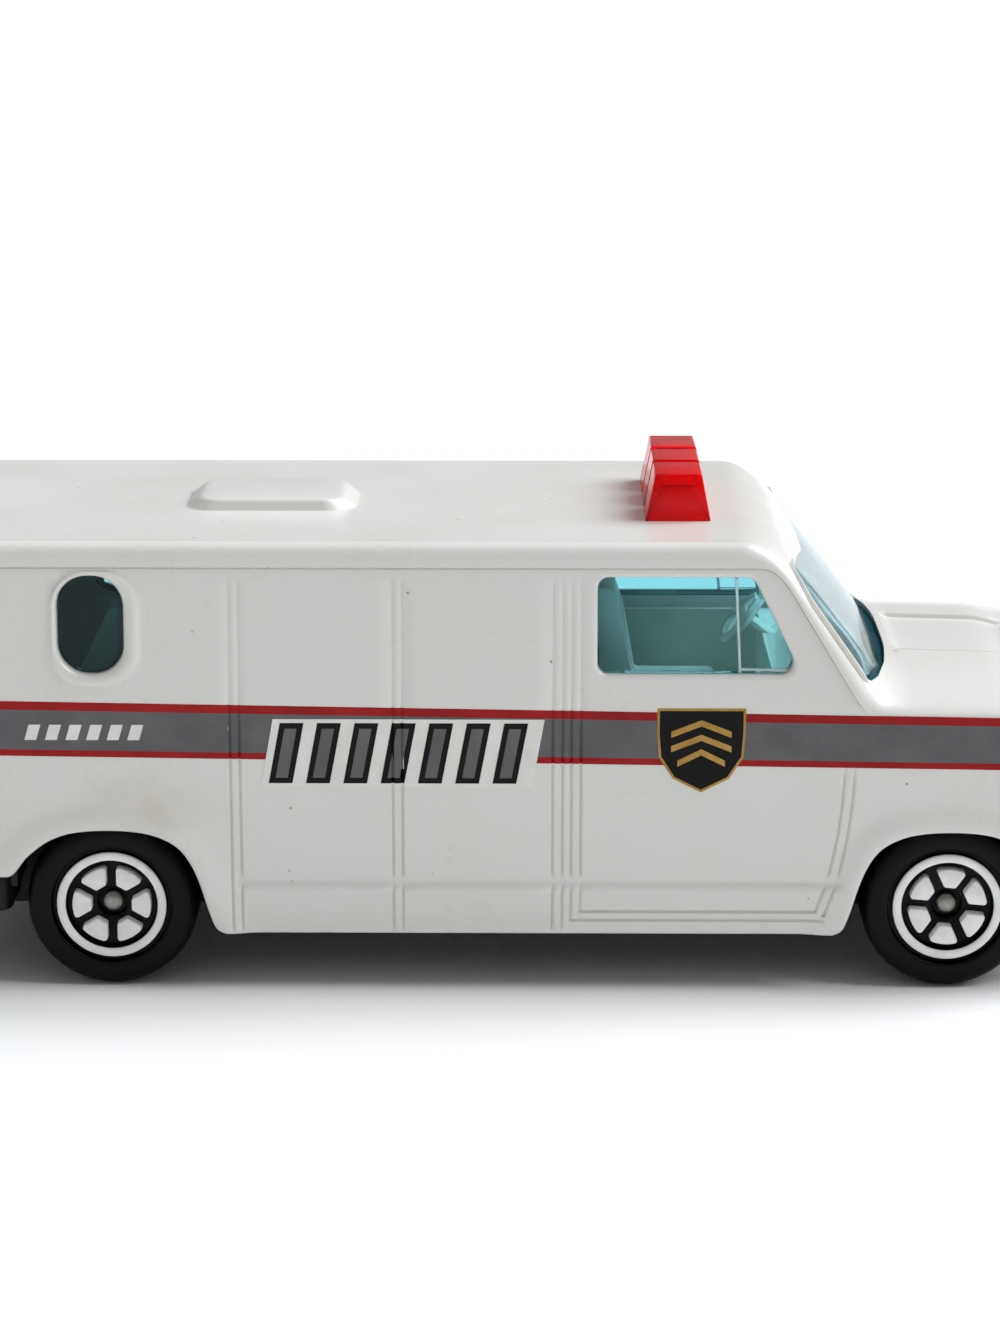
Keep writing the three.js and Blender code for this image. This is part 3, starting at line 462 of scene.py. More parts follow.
def mirrored(shape):
    other = shape.copy()
    stretch(other, (1, -1, 1))
    flip(other)
    return other


def joinPair(target, shape):  # a shape and its mirror image
    joinShape(target, mirrored(shape))
    joinShape(target, shape)


def wrap(sheet, placed):
    for vert in sheet.verts:
        vert.co = placed(*vert.co)


# the form of the casting, the same curves as the solids

form = {
    "half": 13.8, "roof": 29.3, "hood": 20.6, "belt": 18.8, "sill": 3.75, "endEdge": 7.65, "wall": 1.1,
    "rearX": -39.5, "noseX": 36.0, "rearRound": 1.4, "noseRound": 2.2, "noseSide": 1.8, "noseDrop": 1.6,
    "gutter": 27.9, "lean": 0.6, "tuck": 0.35, "tuckHeight": 3.3, "shoulderDrop": 0.6, "hoodFall": 0.03,
    "hoodBreak": 30.2, "noseFall": 0.24, "roofSquare": 50, "screenSquare": 8, "hoodSquare": 2.5,
    "screenRake": 0.77, "screenBase": 22.3, "pillarRake": 0.604, "pillarBase": 20.95, "pillarTop": 15.45,
    "squareBlend": 2.25, "cowlReach": 2.0, "foreheadBlend": 3.0, "pillarBlend": 1.6, "cowlBlend": 0.5,
    "axle": 26.8, "axleHeight": 5.5,
    "ahead": 1.6,  # all is drawn from mid wheelbase, this far ahead of the origin
}
rearStart = form["rearX"] + form["rearRound"]
noseStart = form["noseX"] - form["noseRound"]
rearEnd = rearStart - form["rearRound"] * math.pi / 2
noseEnd = noseStart + form["noseRound"] * math.pi / 2
levelFoot = 15.0  # above this the side sheet is drawn with its top edge level


def smoothMin(a, b, k):
    near = max(k - abs(a - b), 0) / k
    return min(a, b) - near * near * k / 4


def smoothStep(x, low, high):
    t = min(max((x - low) / (high - low), 0), 1)
    return t * t * (3 - 2 * t)


def sideAt(z):
    low = min(max((form["sill"] + form["tuckHeight"] - z) / form["tuckHeight"], 0), 1)
    high = max(z - form["belt"], 0) / (form["gutter"] - form["belt"])
    return form["half"] - form["tuck"] * low * low - form["lean"] * high


def station(along):  # place, side shrink and top drop, where the ends are rounded over
    if along < rearStart:
        angle = (rearStart - along) / form["rearRound"]
        share = form["rearRound"] * (1 - math.cos(angle))
        return rearStart - form["rearRound"] * math.sin(angle), share, share
    if along > noseStart:
        angle = (along - noseStart) / form["noseRound"]
        share = 1 - math.cos(angle)
        x = noseStart + form["noseRound"] * math.sin(angle)
        return x, form["noseSide"] * share, form["noseDrop"] * share
    return along, 0.0, 0.0


def section(x, drop=0.0):  # top, shoulder and squareness of the cross section at x
    slope = form["hood"] + (form["screenBase"] - x) / form["screenRake"]
    hood = form["hood"] - form["hoodFall"] * (x - form["screenBase"])
    hood -= form["noseFall"] * max(x - form["hoodBreak"], 0)
    upper = smoothMin(form["roof"], slope, form["foreheadBlend"])
    top = -smoothMin(-upper, -hood, form["cowlBlend"]) - drop
    pillar = form["belt"] + (form["pillarBase"] - x) / form["pillarRake"]
    line = smoothMin(form["gutter"], pillar, form["pillarBlend"])
    shoulder = -smoothMin(-line, form["shoulderDrop"] - form["belt"], form["pillarBlend"]) - drop
    turn, blend = form["pillarTop"], form["squareBlend"]
    softness = 1 / form["roofSquare"]
    softness += (1 / form["screenSquare"] - softness) * smoothStep(x, turn - blend, turn + blend)
    overHood = smoothStep(x, form["pillarBase"], form["screenBase"] + form["cowlReach"])
    softness += (1 / form["hoodSquare"] - softness) * overHood
    return top, shoulder, 1 / softness


def levelOf(x, z):  # height on the side sheet of a point at x, z
    if z <= levelFoot:
        return z
    return levelFoot + (z - levelFoot) * (form["gutter"] - levelFoot) / (section(x)[1] - levelFoot)


def innerX(x, h):  # the inner wall stops short of the flat ends
    return min(max(x, form["rearX"] + form["wall"]), form["noseX"] - form["wall"]) if h < -0.8 else x


def sidePoint(along, level, h):
    x, shrink, drop = station(along)
    shoulder = section(x, drop)[1]
    z = level
    if level > levelFoot:
        z = levelFoot + (level - levelFoot) * (shoulder - levelFoot) / (form["gutter"] - levelFoot)
    return Vector((innerX(x, h), -(sideAt(z) - shrink + h), z))


def topPoint(along, across, h):
    x, shrink, drop = station(along)
    top, shoulder, square = section(x, drop)
    reach = sideAt(shoulder) - shrink
    f = min(abs(across) / form["half"], 1.0)
    rise = math.sqrt(max(1 - f ** square, 0))
    place = Vector((x, math.copysign(f * reach, across), shoulder + (top - shoulder) * rise))
    if h == 0:
        return place
    if f > 0.9995:
        away = Vector((0, math.copysign(1, across), 0))
    else:
        here = min(max(x, rearStart + 0.1), noseStart - 0.1)
        level = []
        for other in (here - 0.05, here + 0.05):
            t, s, n = section(other, drop)
            level.append((abs(place.y) / (sideAt(s) - shrink)) ** n + (max(place.z - s, 0) / (t - s)) ** 2)
        gy = square * f ** (square - 1) / reach * math.copysign(1, across)
        away = Vector(((level[1] - level[0]) / 0.1, gy, 2 * rise / (top - shoulder))).normalized()
    place += away * h
    place.x = innerX(place.x, h)
    return place


# body casting

bodyPlan = {
    "arch": [(-6.9, 7.65), (-6.35, 7.68), (-5.9, 8.05), (-5.35, 8.8), (-4.65, 9.45), (-3.75, 10.08),
             (-2.6, 10.52), (-1.3, 10.72), (0, 10.77), (1.3, 10.72), (2.6, 10.52), (3.75, 10.08),
             (4.65, 9.4), (5.35, 8.3), (5.85, 7.0), (6.25, 5.6), (6.6, 4.5), (6.9, 4.0), (7.4, 3.75)],
    "flare": 0.32, "flareWidth": 1.9, "flareReach": (10, 13.5), "edge": 0.25, "footBand": 13,
    "doorWindow": [(4.25, 21.0, 0.7), (17.1, 21.0, 0.9), (14.0, 27.2, 0.9), (4.25, 27.2, 0.7)],
    "porthole": [(-29.7, 20.95, 1.95), (-25.5, 20.95, 1.95), (-25.5, 27.25, 1.95), (-29.7, 27.25, 1.95)],
    "portholeFrame": [(-30.2, 20.2, 2.3), (-24.35, 20.2, 2.3), (-24.35, 27.62, 2.3), (-30.2, 27.62, 2.3)],
    "screen": [(-0.55, 4.0, 6.0), (-0.45, 8.0, 8.0), (-0.1, 11.2, 4.0), (0.4, 13.0, 0.5), (7.0, 12.8, 1.6),
               (9.2, 12.35, 1.3), (8.5, 7.5, 5.0), (7.5, 2.5, 5.0)],  # up the slope, to one side
    "rearWindow": [(1.3, 21.0, 0.8), (9.5, 21.0, 0.8), (9.5, 26.2, 0.8), (1.3, 26.2, 0.8)],
    "grille": [(-9.8, 10.4, 0.8), (9.8, 10.4, 0.8), (9.8, 16.2, 0.8), (-9.8, 16.2, 0.8)],
    "bump": [(-22.6, -3.85, 1.9), (-11.2, -3.85, 1.9), (-11.2, 3.85, 1.9), (-22.6, 3.85, 1.9)],
    "bumpTop": [(-21.0, -3.3, 1.0), (-12.7, -3.3, 1.0), (-12.7, 3.3, 1.0), (-21.0, 3.3, 1.0)],
    "lines": [(-18.93, 4.3, 27.2), (-18.33, 4.3, 27.2), (-8.65, 4.3, 27.2), (-8.05, 4.3, 27.2),
              (1.46, 4.3, 27.2), (2.08, 4.3, 27.2), (2.64, 4.8, 27.2), (3.24, 5.4, 27.2)],  # x, foot, top
    "doorFoot": [(5.4, 3.24, 18.25), (4.8, 2.64, 18.8)],  # height, rear, front
    "doorFront": [(18.78, 5.1), (19.29, 6.57), (19.76, 8.24), (20.21, 10.58), (20.47, 12.91),
                  (20.58, 15.2)],  # x, height
    "gutter": [(-0.2, 0.0), (-0.12, -0.07), (-0.04, 0.1), (0.0, 0.1)],  # from the roof's edge, relief
    "doorFrontGap": 0.63, "doorFrontFeet": (4.75, 5.35), "lineHalf": 0.14, "lineDepth": 0.15,
    "lineFade": (15, 21, 0.65),  # fainter above the stripe: from level, to level, by this share
    "crease": (6.9, 7.2, 7.55, 7.85), "creaseDepth": 0.15, "creaseEnds": (-18.6, 20.0),
    "gutterRise": 0.1, "gutterFade": (20.2, 21.6), "gutterEdge": (0.9, 0.968),
    "hoodSink": 0.24, "hoodHalf": 4.6, "hoodRear": (23.35, 24.45), "hoodFront": (31.6, 32.0),
    "hoodEdge": 0.06, "hoodLine": (0.2, 0.09, 0.45),  # beside the edge, half width, share of the sink
    "beadSides": (9.5, 11.5), "beadFade": (20.6, 21.6),  # the windscreen's bead runs up its sides only
    "tailSlot": [(-0.07, 9.0, 0.06), (0.07, 9.0, 0.06), (0.07, 26.6, 0.06), (-0.07, 26.6, 0.06)],
    "tailSlotShift": 0.3, "tailSlotLip": [(0.07, -0.13)],
    "step": 0.9,  # grid lines; the fine ones as start, step, count
    "fineAlong": [(12.6, 0.45, 13), (18.6, 0.35, 17)], "fineLevel": (8.0, 0.42, 11),
    "lineEnds": [26.9, 27.2, 4.3, 4.5],
    "edgeShares": [0.775, 0.83, 0.87, 0.9, 0.925, 0.95, 0.968, 0.982, 0.99, 0.995, 0.998],
}
doorLip = [(0.1, 0.0), (0.2, -0.03), (0.29, -0.1), (0.35, -0.22), (0.35, -0.6), (0.35, -1.1), (0, -1.1)]
portholeLip = [(0.12, 0.03), (0.25, 0.11), (0.4, 0.16), (0.6, 0.16), (0.78, 0.1), (0.92, 0.0), (1.0, -0.14),
               (1.0, -0.6), (1.0, -1.1), (0, -1.1)]  # shares of the way in from the frame
screenLip = [(0.04, -0.12), (0.11, -0.26), (0.18, -0.24), (0.23, -0.02), (0.27, 0.12), (0.32, 0.13),
             (0.36, 0.03), (0.38, -0.12), (0.38, -0.6), (0.38, -1.1), (0, -1.1)]
footLip = [(0.1, -0.02), (0.19, -0.08), (0.25, -0.2), (0.25, -0.6), (0.25, -1.1), (0, -1.1)]
bumpRise = [(0.06, 0.01), (0.16, 0.08), (0.5, 0.52), (0.66, 0.66), (0.8, 0.71), (1.0, 0.72)]  # shares too


def evenly(start, step, count):
    return [start + step * k for k in range(count)]


def gridLines(low, high, step, features):
    count = max(1, round((high - low) / step))
    plain = [low + (high - low) * k / count for k in range(1, count)]
    plain = [p for p in plain if all(abs(p - q) > 0.3 * step for q in features)]
    wanted = sorted(plain + [q for q in features if low < q < high])
    return [q for k, q in enumerate(wanted) if k == 0 or q - wanted[k - 1] > 0.02]


def alongLines():
    half = bodyPlan["lineHalf"]
    features = [rearStart - form["rearRound"] * math.pi / 2 * k / 5 for k in range(5)]
    features += [noseStart + form["noseRound"] * math.pi / 2 * k / 6 for k in range(6)]
    for x, foot, top in bodyPlan["lines"]:
        features += [x - half, x, x + half]
    for fine in bodyPlan["fineAlong"]:
        features += evenly(*fine)
    low, high = bodyPlan["hoodRear"]
    features += evenly(low, (high - low) / 4, 5) + list(bodyPlan["hoodFront"])
    return gridLines(rearEnd, noseEnd, bodyPlan["step"], sorted(features))


def levelLines():
    half = bodyPlan["lineHalf"]
    features = [knot[1] for knot in bodyPlan["doorFront"]] + list(bodyPlan["crease"])
    for z, rear, front in bodyPlan["doorFoot"]:
        features += [z - half, z, z + half]
    features += evenly(*bodyPlan["fineLevel"]) + bodyPlan["lineEnds"]
    features += [form["gutter"] + below for below, rise in bodyPlan["gutter"][:-1]]
    return gridLines(form["sill"], form["gutter"], bodyPlan["step"], sorted(features))


def acrossLines():
    half = [form["half"] * s for s in evenly(0, 0.09, 9) + bodyPlan["edgeShares"]]
    side, edge = bodyPlan["hoodHalf"], bodyPlan["hoodEdge"]
    line, lineHalf, share = bodyPlan["hoodLine"]
    half = [g for g in half if abs(g - side) > 0.6]
    half += [side + d for d in (-edge, edge, line - lineHalf, line, line + lineHalf)]
    return sorted({round(sign * g, 6) for g in half for sign in (-1, 1)})


def archPath(sign):  # the wheel arch from the rear to the front, at the rear or front axle
    points = [Vector((form["axle"] * sign + x * (1 if sign < 0 else -1), z)) for x, z in bodyPlan["arch"]]
    return smoothPath(points if sign < 0 else points[::-1], 3)


rearArch = archPath(-1)
frontArch = archPath(1)


def distanceTo(path, point):
    best = 1e9
    for a, b in zip(path, path[1:]):
        span = b - a
        t = min(max((point - a).dot(span) / span.length_squared, 0), 1)
        best = min(best, (a + span * t - point).length)
    return best


def frontLineAt(z):
    knots = bodyPlan["doorFront"]
    for (x0, z0), (x1, z1) in zip(knots, knots[1:]):
        if z <= z1:
            return x0 + (x1 - x0) * (z - z0) / (z1 - z0)
    return knots[-1][0]


def gutterAt(along):  # the roof gutter runs down the front pillar and fades at the hood
    return 1 - smoothStep(along, *bodyPlan["gutterFade"])


def gutterRelief(below):
    knots = bodyPlan["gutter"]
    for (d0, r0), (d1, r1) in zip(knots, knots[1:]):
        if d0 <= below <= d1:
            return r0 + (r1 - r0) * (below - d0) / (d1 - d0)
    return 0.0


def sideRelief(x, level):
    relief = 0.0
    low, high, share = bodyPlan["lineFade"]
    depth = bodyPlan["lineDepth"] * (1 - share * smoothStep(level, low, high))
    groove = lambda away: -depth * max(0, 1 - abs(away) / bodyPlan["lineHalf"])
    for line, foot, top in bodyPlan["lines"]:
        if foot - 0.01 <= level <= top - 0.25:
            relief = min(relief, groove(x - line))
    for z, rear, front in bodyPlan["doorFoot"]:
        if rear - 0.01 <= x <= front + 0.1:
            relief = min(relief, groove(level - z))
    knots = bodyPlan["doorFront"]
    for shift, foot in zip((0, -bodyPlan["doorFrontGap"]), bodyPlan["doorFrontFeet"]):
        if foot <= level <= knots[-1][1] - 0.2:
            relief = min(relief, groove(x - frontLineAt(level) - shift))
    low, inner, outer, high = bodyPlan["crease"]
    band = min((level - low) / (inner - low), 1, (high - level) / (high - outer))
    if bodyPlan["creaseEnds"][0] < x < bodyPlan["creaseEnds"][1] and band > 0:
        relief = min(relief, -bodyPlan["creaseDepth"] * band)
    for path, axle in ((rearArch, -form["axle"]), (frontArch, form["axle"])):
        if abs(x - axle) < bodyPlan["flareReach"][0] and level < bodyPlan["flareReach"][1]:
            away = distanceTo(path, Vector((x, level))) - bodyPlan["edge"]
            relief += bodyPlan["flare"] * (1 - smoothStep(away, 0, bodyPlan["flareWidth"]))
    return relief + gutterAt(x) * gutterRelief(min(level - form["gutter"], 0))


def topRelief(along, across):
    f = abs(across) / form["half"]
    relief = bodyPlan["gutterRise"] * gutterAt(along) * smoothStep(f, *bodyPlan["gutterEdge"])
    beside = abs(across) - bodyPlan["hoodHalf"]
    line, lineHalf, share = bodyPlan["hoodLine"]
    inside = 1 - smoothStep(beside, -bodyPlan["hoodEdge"], bodyPlan["hoodEdge"])
    inside += share * max(0, 1 - abs(beside - line) / lineHalf)
    length = smoothStep(along, *bodyPlan["hoodRear"]) * (1 - smoothStep(along, *bodyPlan["hoodFront"]))
    return relief - bodyPlan["hoodSink"] * inside * length


def onSide(loop):  # an x, z outline drawn on the side sheet
    return [Vector((p.x, levelOf(p.x, p.y))) for p in loop]


def screenLoop():  # the windscreen opening on the curved surface, each point with its place up the slope
    slope = Vector((-form["screenRake"], 1)).normalized()
    found = []
    corners = bodyPlan["screen"] + [(up, -side, radius) for up, side, radius in bodyPlan["screen"][::-1]]
    for p in densify(roundedLoop(corners), 0.7):
        low, high = 12.0, 27.0
        for turn in range(40):
            x = (low + high) / 2
            top, shoulder, square = section(x)
            across = min(abs(p.y) / sideAt(shoulder), 1) * form["half"]
            z = topPoint(x, across, 0).z
            if Vector((x - form["screenBase"], z - form["hood"])).dot(slope) > p.x:
                low = x
            else:
                high = x
        found.append((Vector((x, math.copysign(across, p.y))), p.x))
    area = sum(a.x * b.y - b.x * a.y for (a, up), (b, above) in zip(found, found[1:] + found[:1]))
    return found if area > 0 else found[::-1]


doorLoop = onSide(densify(roundedLoop(bodyPlan["doorWindow"]), 0.7))
portholeLoop = onSide(roundedLoop(bodyPlan["porthole"], 10))
portholeFrame = onSide(roundedLoop(bodyPlan["portholeFrame"], 10))
screenPlaces = screenLoop()
screenOpening = [p for p, up in screenPlaces]


def cutDoorFront(sheet):  # the slanted front edge of the door, cut as two fine lines
    knots = bodyPlan["doorFront"]
    for (x0, z0), (x1, z1) in zip(knots, knots[1:]):
        for shift in (0, -bodyPlan["doorFrontGap"]):
            for side in (-bodyPlan["lineHalf"], 0, bodyPlan["lineHalf"]):
                faces = [f for f in sheet.faces if z0 < f.calc_center_median().y < z1
                         and abs(f.calc_center_median().x - (x0 + x1) / 2) < 2.2]
                near = list({e for f in faces for e in f.edges}) + list({v for f in faces for v in f.verts})
                bmesh.ops.bisect_plane(sheet, geom=faces + near, dist=1e-4,
                                       plane_co=(x0 + shift + side, z0, 0), plane_no=(z1 - z0, x0 - x1, 0))


def closeEnd(skin, x, outward, holes, slots):  # flat end with its openings, joined to the skin's open edge
    for inner in (False, True):
        at = x - outward * form["wall"] if inner else x
        ring = [e for e in skin.edges if e.is_boundary and all(abs(v.co.x - at) < 1e-3 for v in e.verts)
                and max(v.co.z for v in e.verts) > form["endEdge"] + 0.24]
        sheet = bmesh.new()
        made = {}
        for edge in ring:
            for vert in edge.verts:
                if vert not in made:
                    made[vert] = sheet.verts.new((vert.co.y * outward, vert.co.z, 0))
            sheet.edges.new([made[v] for v in edge.verts])
        ends = sorted((v for v in sheet.verts if len(v.link_edges) == 1), key=lambda v: v.co.x)
        if len(ends) == 2:
            sheet.edges.new(ends)
        for loop in holes + ([] if inner else slots):
            drawLoop(sheet, loop)
        fillIn(sheet, sheet.edges[:])
        if inner:
            flip(sheet)
            paint(sheet.faces, 1)
        else:
            for loop in holes:
                emboss(sheet, rim(sheet, around(loop)), doorLip)
            for loop in slots:
                emboss(sheet, rim(sheet, around(loop)), bodyPlan["tailSlotLip"], True)
            foot = form["endEdge"] + bodyPlan["edge"]
            emboss(sheet, rim(sheet, lambda c: abs(c.y - foot) < 0.01 and abs(c.z) < 1e-6), footLip)
        for vert in sheet.verts:
            y, z, h = vert.co
            vert.co = (at + outward * h, y * outward, z)
        joinShape(skin, sheet)
        weld(skin, 2e-3)


def bodyCasting():
    xLines = alongLines()
    top = form["gutter"]
    rear, nose = Vector((rearEnd, form["endEdge"])), Vector((noseEnd, form["endEdge"]))
    chain = grown([rear] + rearArch + frontArch + [nose], -bodyPlan["edge"], closed=False)
    lipReach = doorLip[-2][0]
    door = grown(doorLoop, lipReach)
    outline = chain + [Vector((noseEnd, top)), Vector((rearEnd, top))]
    side = flatSheet([outline, door, portholeFrame], xLines, levelLines())
    cutDoorFront(side)
    raiseTo(side, sideRelief)
    atEnd = lambda c: min(abs(c.x - rearEnd), abs(c.x - noseEnd)) < 1e-3
    doorRim = rim(side, around(door))
    portholeRim = rim(side, around(portholeFrame))
    footRim = rim(side, lambda c: c.y < bodyPlan["footBand"] and not atEnd(c))
    addLiner(side, form["wall"])
    emboss(side, doorRim, doorLip)
    emboss(side, portholeRim, portholeLip, toward=acrossTo(portholeFrame, portholeLoop))
    emboss(side, footRim, footLip)
    weld(side, 1e-3)
    wrap(side, sidePoint)
    print("side sheet wrapped:", len(side.faces))

    half = form["half"]
    screen = grown(screenOpening, screenLip[-2][0])
    bump, bumpTop = roundedLoop(bodyPlan["bump"]), roundedLoop(bodyPlan["bumpTop"])
    ends = ((rearEnd, -half), (noseEnd, -half), (noseEnd, half), (rearEnd, half))
    corners = [Vector(end) for end in ends]
    roof = flatSheet([corners, screen, bump], xLines, acrossLines())
    raiseTo(roof, topRelief)
    screenRim = rim(roof, around(screen))
    bumpRim = rim(roof, around(bump))
    made = parts(addLiner(roof, form["wall"]), bmesh.types.BMEdge)
    plug = [e for e in made if e.is_boundary and around(bump)(e.verts[0].co)]
    plugged = fillIn(roof, plug, -1)
    paint(parts(plugged, bmesh.types.BMFace), 1)
    sides, fade = bodyPlan["beadSides"], bodyPlan["beadFade"]
    beadShare = lambda c: smoothStep(abs(c.y), *sides) * (1 - smoothStep(c.x, *fade))
    emboss(roof, screenRim, screenLip, share=beadShare)
    emboss(roof, bumpRim, bumpRise, True, acrossTo(bump, bumpTop))
    weld(roof, 1e-3)
    wrap(roof, topPoint)
    print("top sheet wrapped:", len(roof.faces))

    far = mirrored(side)
    joinShape(roof, side)
    joinShape(roof, far)
    weld(roof, 2e-3)
    windows = [roundedLoop(bodyPlan["rearWindow"])]
    windows.append([Vector((-p.x, p.y)) for p in windows[0]][::-1])
    slot, shift = roundedLoop(bodyPlan["tailSlot"], 2), bodyPlan["tailSlotShift"]
    slots = [[p + Vector((x, 0)) for p in slot] for x in (-shift, shift)]
    closeEnd(roof, form["rearX"], -1, [grown(w, lipReach) for w in windows], slots)
    closeEnd(roof, form["noseX"], 1, [grown(roundedLoop(bodyPlan["grille"]), lipReach)], [])
    bmesh.ops.holes_fill(roof, edges=[e for e in roof.edges if e.is_boundary], sides=0)
    finishPiece("body_shell", roof, [enamel, overspray], "vehicle", ["body_casting"])


bodyCasting()


# window insert: panes pressed into the openings, with flanges behind the casting

panePlan = {
    "depth": 0.5, "thickness": 0.6, "fit": 0.05, "flange": 0.7, "flangeDepth": 0.5, "seatGap": 0.02,
    "wedge": 0.3, "wedgeReach": 1.3, "wedgeTop": 27.1, "levels": (21.5, 0.6, 10), "rearShift": -10.8,
    "ventFrame": [[(12.88, 27.05), (13.18, 21.1), (13.27, 21.1), (12.97, 27.05)],
                  [(13.28, 21.24), (16.4, 21.18), (16.38, 21.27), (13.28, 21.33)]],
    "ventLift": 0.07, "ventEdge": [(0.03, -0.03), (0.05, -0.12)],
    "screenDepth": 0.12, "screenFlange": 0.3, "screenLines": (14.5, 0.5, 17), "screenHalf": 13.2,
    "bulge": 0.25, "bulgeHalf": 12, "bulgeFrom": (17.5, 21.5), "topSink": 0.35, "sinkTo": (15.5, 19.0),
    "behind": 1.27,  # share of the bulge that the foot keeps behind the hood's edge
    "footGap": 0.3, "footReach": 13.3, "footCurve": 2.2, "footPull": (0.5, 1.0), "footSink": 0.3,
    "shadeStrip": {"below": 0.34, "half": 12.7, "over": 0.02, "under": 0.15, "depth": 0.25},
}


def paneSheet(loop, xLines, yLines, front, placed, extra=lambda u, v: 0.0, flange=panePlan["flange"]):
    pane = bmesh.new()
    seat = -form["wall"] - panePlan["seatGap"]
    foot = seat - panePlan["flangeDepth"]
    for back in (False, True):
        sheet = flatSheet([grown(loop, -panePlan["fit"])], xLines, yLines)
        for vert in sheet.verts:
            thick = panePlan["thickness"] + extra(*vert.co.xy) if back else 0
            vert.co.z = front(*vert.co.xy) - thick
        steps = [(flange, foot)] if back else [(0, seat), (flange, seat), (flange, foot)]
        for ring, (distance, height) in zip(emboss(sheet, rim(sheet), steps), steps):
            for vert in ring:
                vert.co.z = height
        if back:
            flip(sheet)
        joinShape(pane, sheet)
    weld(pane, 1e-3)
    wrap(pane, placed)
    faceOut(pane)
    return pane


def windowInsert():
    insert = bmesh.new()
    flat = lambda u, v: -panePlan["depth"]
    levels = evenly(*panePlan["levels"])

    def upper(u, v):  # fillet to the roof
        return panePlan["wedge"] * max(0, 1 - (panePlan["wedgeTop"] - v) / panePlan["wedgeReach"]) ** 2

    sides = [paneSheet(doorLoop, evenly(5, 1, 12), levels, flat, sidePoint, upper),
             paneSheet(portholeLoop, evenly(-29, 1, 4), levels, flat, sidePoint, upper)]
    for loop in panePlan["ventFrame"]:  # raised bars of the quarter light
        bar = flatSheet([onSide(densify([Vector(p) for p in loop], 0.4))], [], levels)
        raiseTo(bar, lambda u, v: panePlan["ventLift"] - panePlan["depth"])
        emboss(bar, rim(bar), panePlan["ventEdge"])
        paint(bar.faces, 1)
        wrap(bar, sidePoint)
        sides.append(bar)
    for shape in sides:
        joinPair(insert, shape)
    reach, curve = panePlan["footReach"], panePlan["footCurve"]
    gap = lambda v: panePlan["footGap"] * max(0, 1 - (abs(v) / reach) ** curve)
    pulled = lambda up: 1 - smoothStep(up, *panePlan["footPull"])  # only the foot is drawn back
    screen = [Vector((p.x - gap(p.y) * pulled(up), p.y)) for p, up in screenPlaces]

    def crown(u, v):  # sunk under the forehead, straight down behind the hood's edge
        bulge = panePlan["bulge"] * max(0, 1 - (v / panePlan["bulgeHalf"]) ** 2)
        bulge *= smoothStep(u, *panePlan["bulgeFrom"])
        sink = panePlan["topSink"] * (1 - smoothStep(u, *panePlan["sinkTo"]))
        behind = (form["screenBase"] + panePlan["behind"] * bulge - u) / form["screenRake"]
        return min(bulge - sink, behind) - panePlan["screenDepth"]

    wide = [v for v in acrossLines() if abs(v) < panePlan["screenHalf"]]
    pane = paneSheet(screen, evenly(*panePlan["screenLines"]), wide, crown, topPoint,
                     flange=panePlan["screenFlange"])
    paint(pane.faces, 3)
    joinShape(insert, pane)
    plan = panePlan["shadeStrip"]  # painted shade: a dark sheet along the windscreen's foot, where the gap lies in shadow
    edge = [p for p, up in screenPlaces if up < plan["below"] and abs(p.y) < plan["half"]]
    edge.sort(key=lambda p: p.y)
    under = [Vector((p.x - gap(p.y) - plan["under"], p.y)) for p in edge]
    shadeStrip = flatSheet([[Vector((p.x + plan["over"], p.y)) for p in edge] + under[::-1]], [], wide)
    raiseTo(shadeStrip, lambda u, v: -panePlan["footSink"])
    emboss(shadeStrip, rim(shadeStrip), [(0, -plan["depth"])], True)
    wrap(shadeStrip, topPoint)
    faceOut(shadeStrip)
    # the painted shade sheet takes the dark teal material
    paint(shadeStrip.faces, 2)
    joinShape(insert, shadeStrip)
    for shift in (0, panePlan["rearShift"]):
        loop = [Vector((p.x + shift, p.y)) for p in roundedLoop(bodyPlan["rearWindow"])]
        joinShape(insert, paneSheet(loop, [], [], flat, lambda u, v, h: Vector((form["rearX"] - h, -u, v))))
    finishPiece("window_panes", insert, [tealClear, frosted, paintedShadeTeal, tealHazed], "vehicle",
                ["window_insert"])


windowInsert()


# wheels and axles

wheelPlan = {
    "face": 13.05, "steps": 96, "ring": (2.97, 3.515), "ringFrom": 12.94,
    "turn": {"front": 25.0, "rear": 0.0},
    "pads": 6, "padInner": 1.4, "padOuter": 2.45, "padGap": 0.8, "padCorner": 0.13, "padArc": 0.02,
    "padEdge": [(0.04, -0.02), (0.07, -0.08)], "padFoot": [(0.02, -0.7)],
}
tyreProfile = [
    (0.56, 8.42), (1.5, 8.42), (1.6, 8.52), (1.6, 8.85), (4.6, 8.85), (5.1, 8.9), (5.36, 9.08), (5.5, 9.4),
    (5.5, 11.9), (5.47, 12.2), (5.38, 12.5), (5.22, 12.76), (5.0, 12.94), (4.7, 13.03), (4.3, 13.05),
    (3.98, 13.04), (3.9, 13.0), (3.86, 12.92), (3.84, 12.6), (3.8, 12.56), (3.58, 12.56), (3.54, 12.6),
    (3.52, 12.9), (3.49, 12.99), (3.42, 13.04), (3.24, 13.05), (3.06, 13.04), (2.99, 12.99), (2.96, 12.9),
    (2.94, 12.4), (2.88, 12.3), (1.1, 12.3), (1.0, 12.25), (0.95, 12.15), (0.95, 11.8), (0.56, 11.8),
    (0.56, 8.42)]
axleProfile = [
    (0, 12.42), (0.3, 12.4), (0.52, 12.33), (0.65, 12.2), (0.7, 12.05), (0.7, 11.9), (0.66, 11.84),
    (0.5, 11.82), (0.5, 0)]


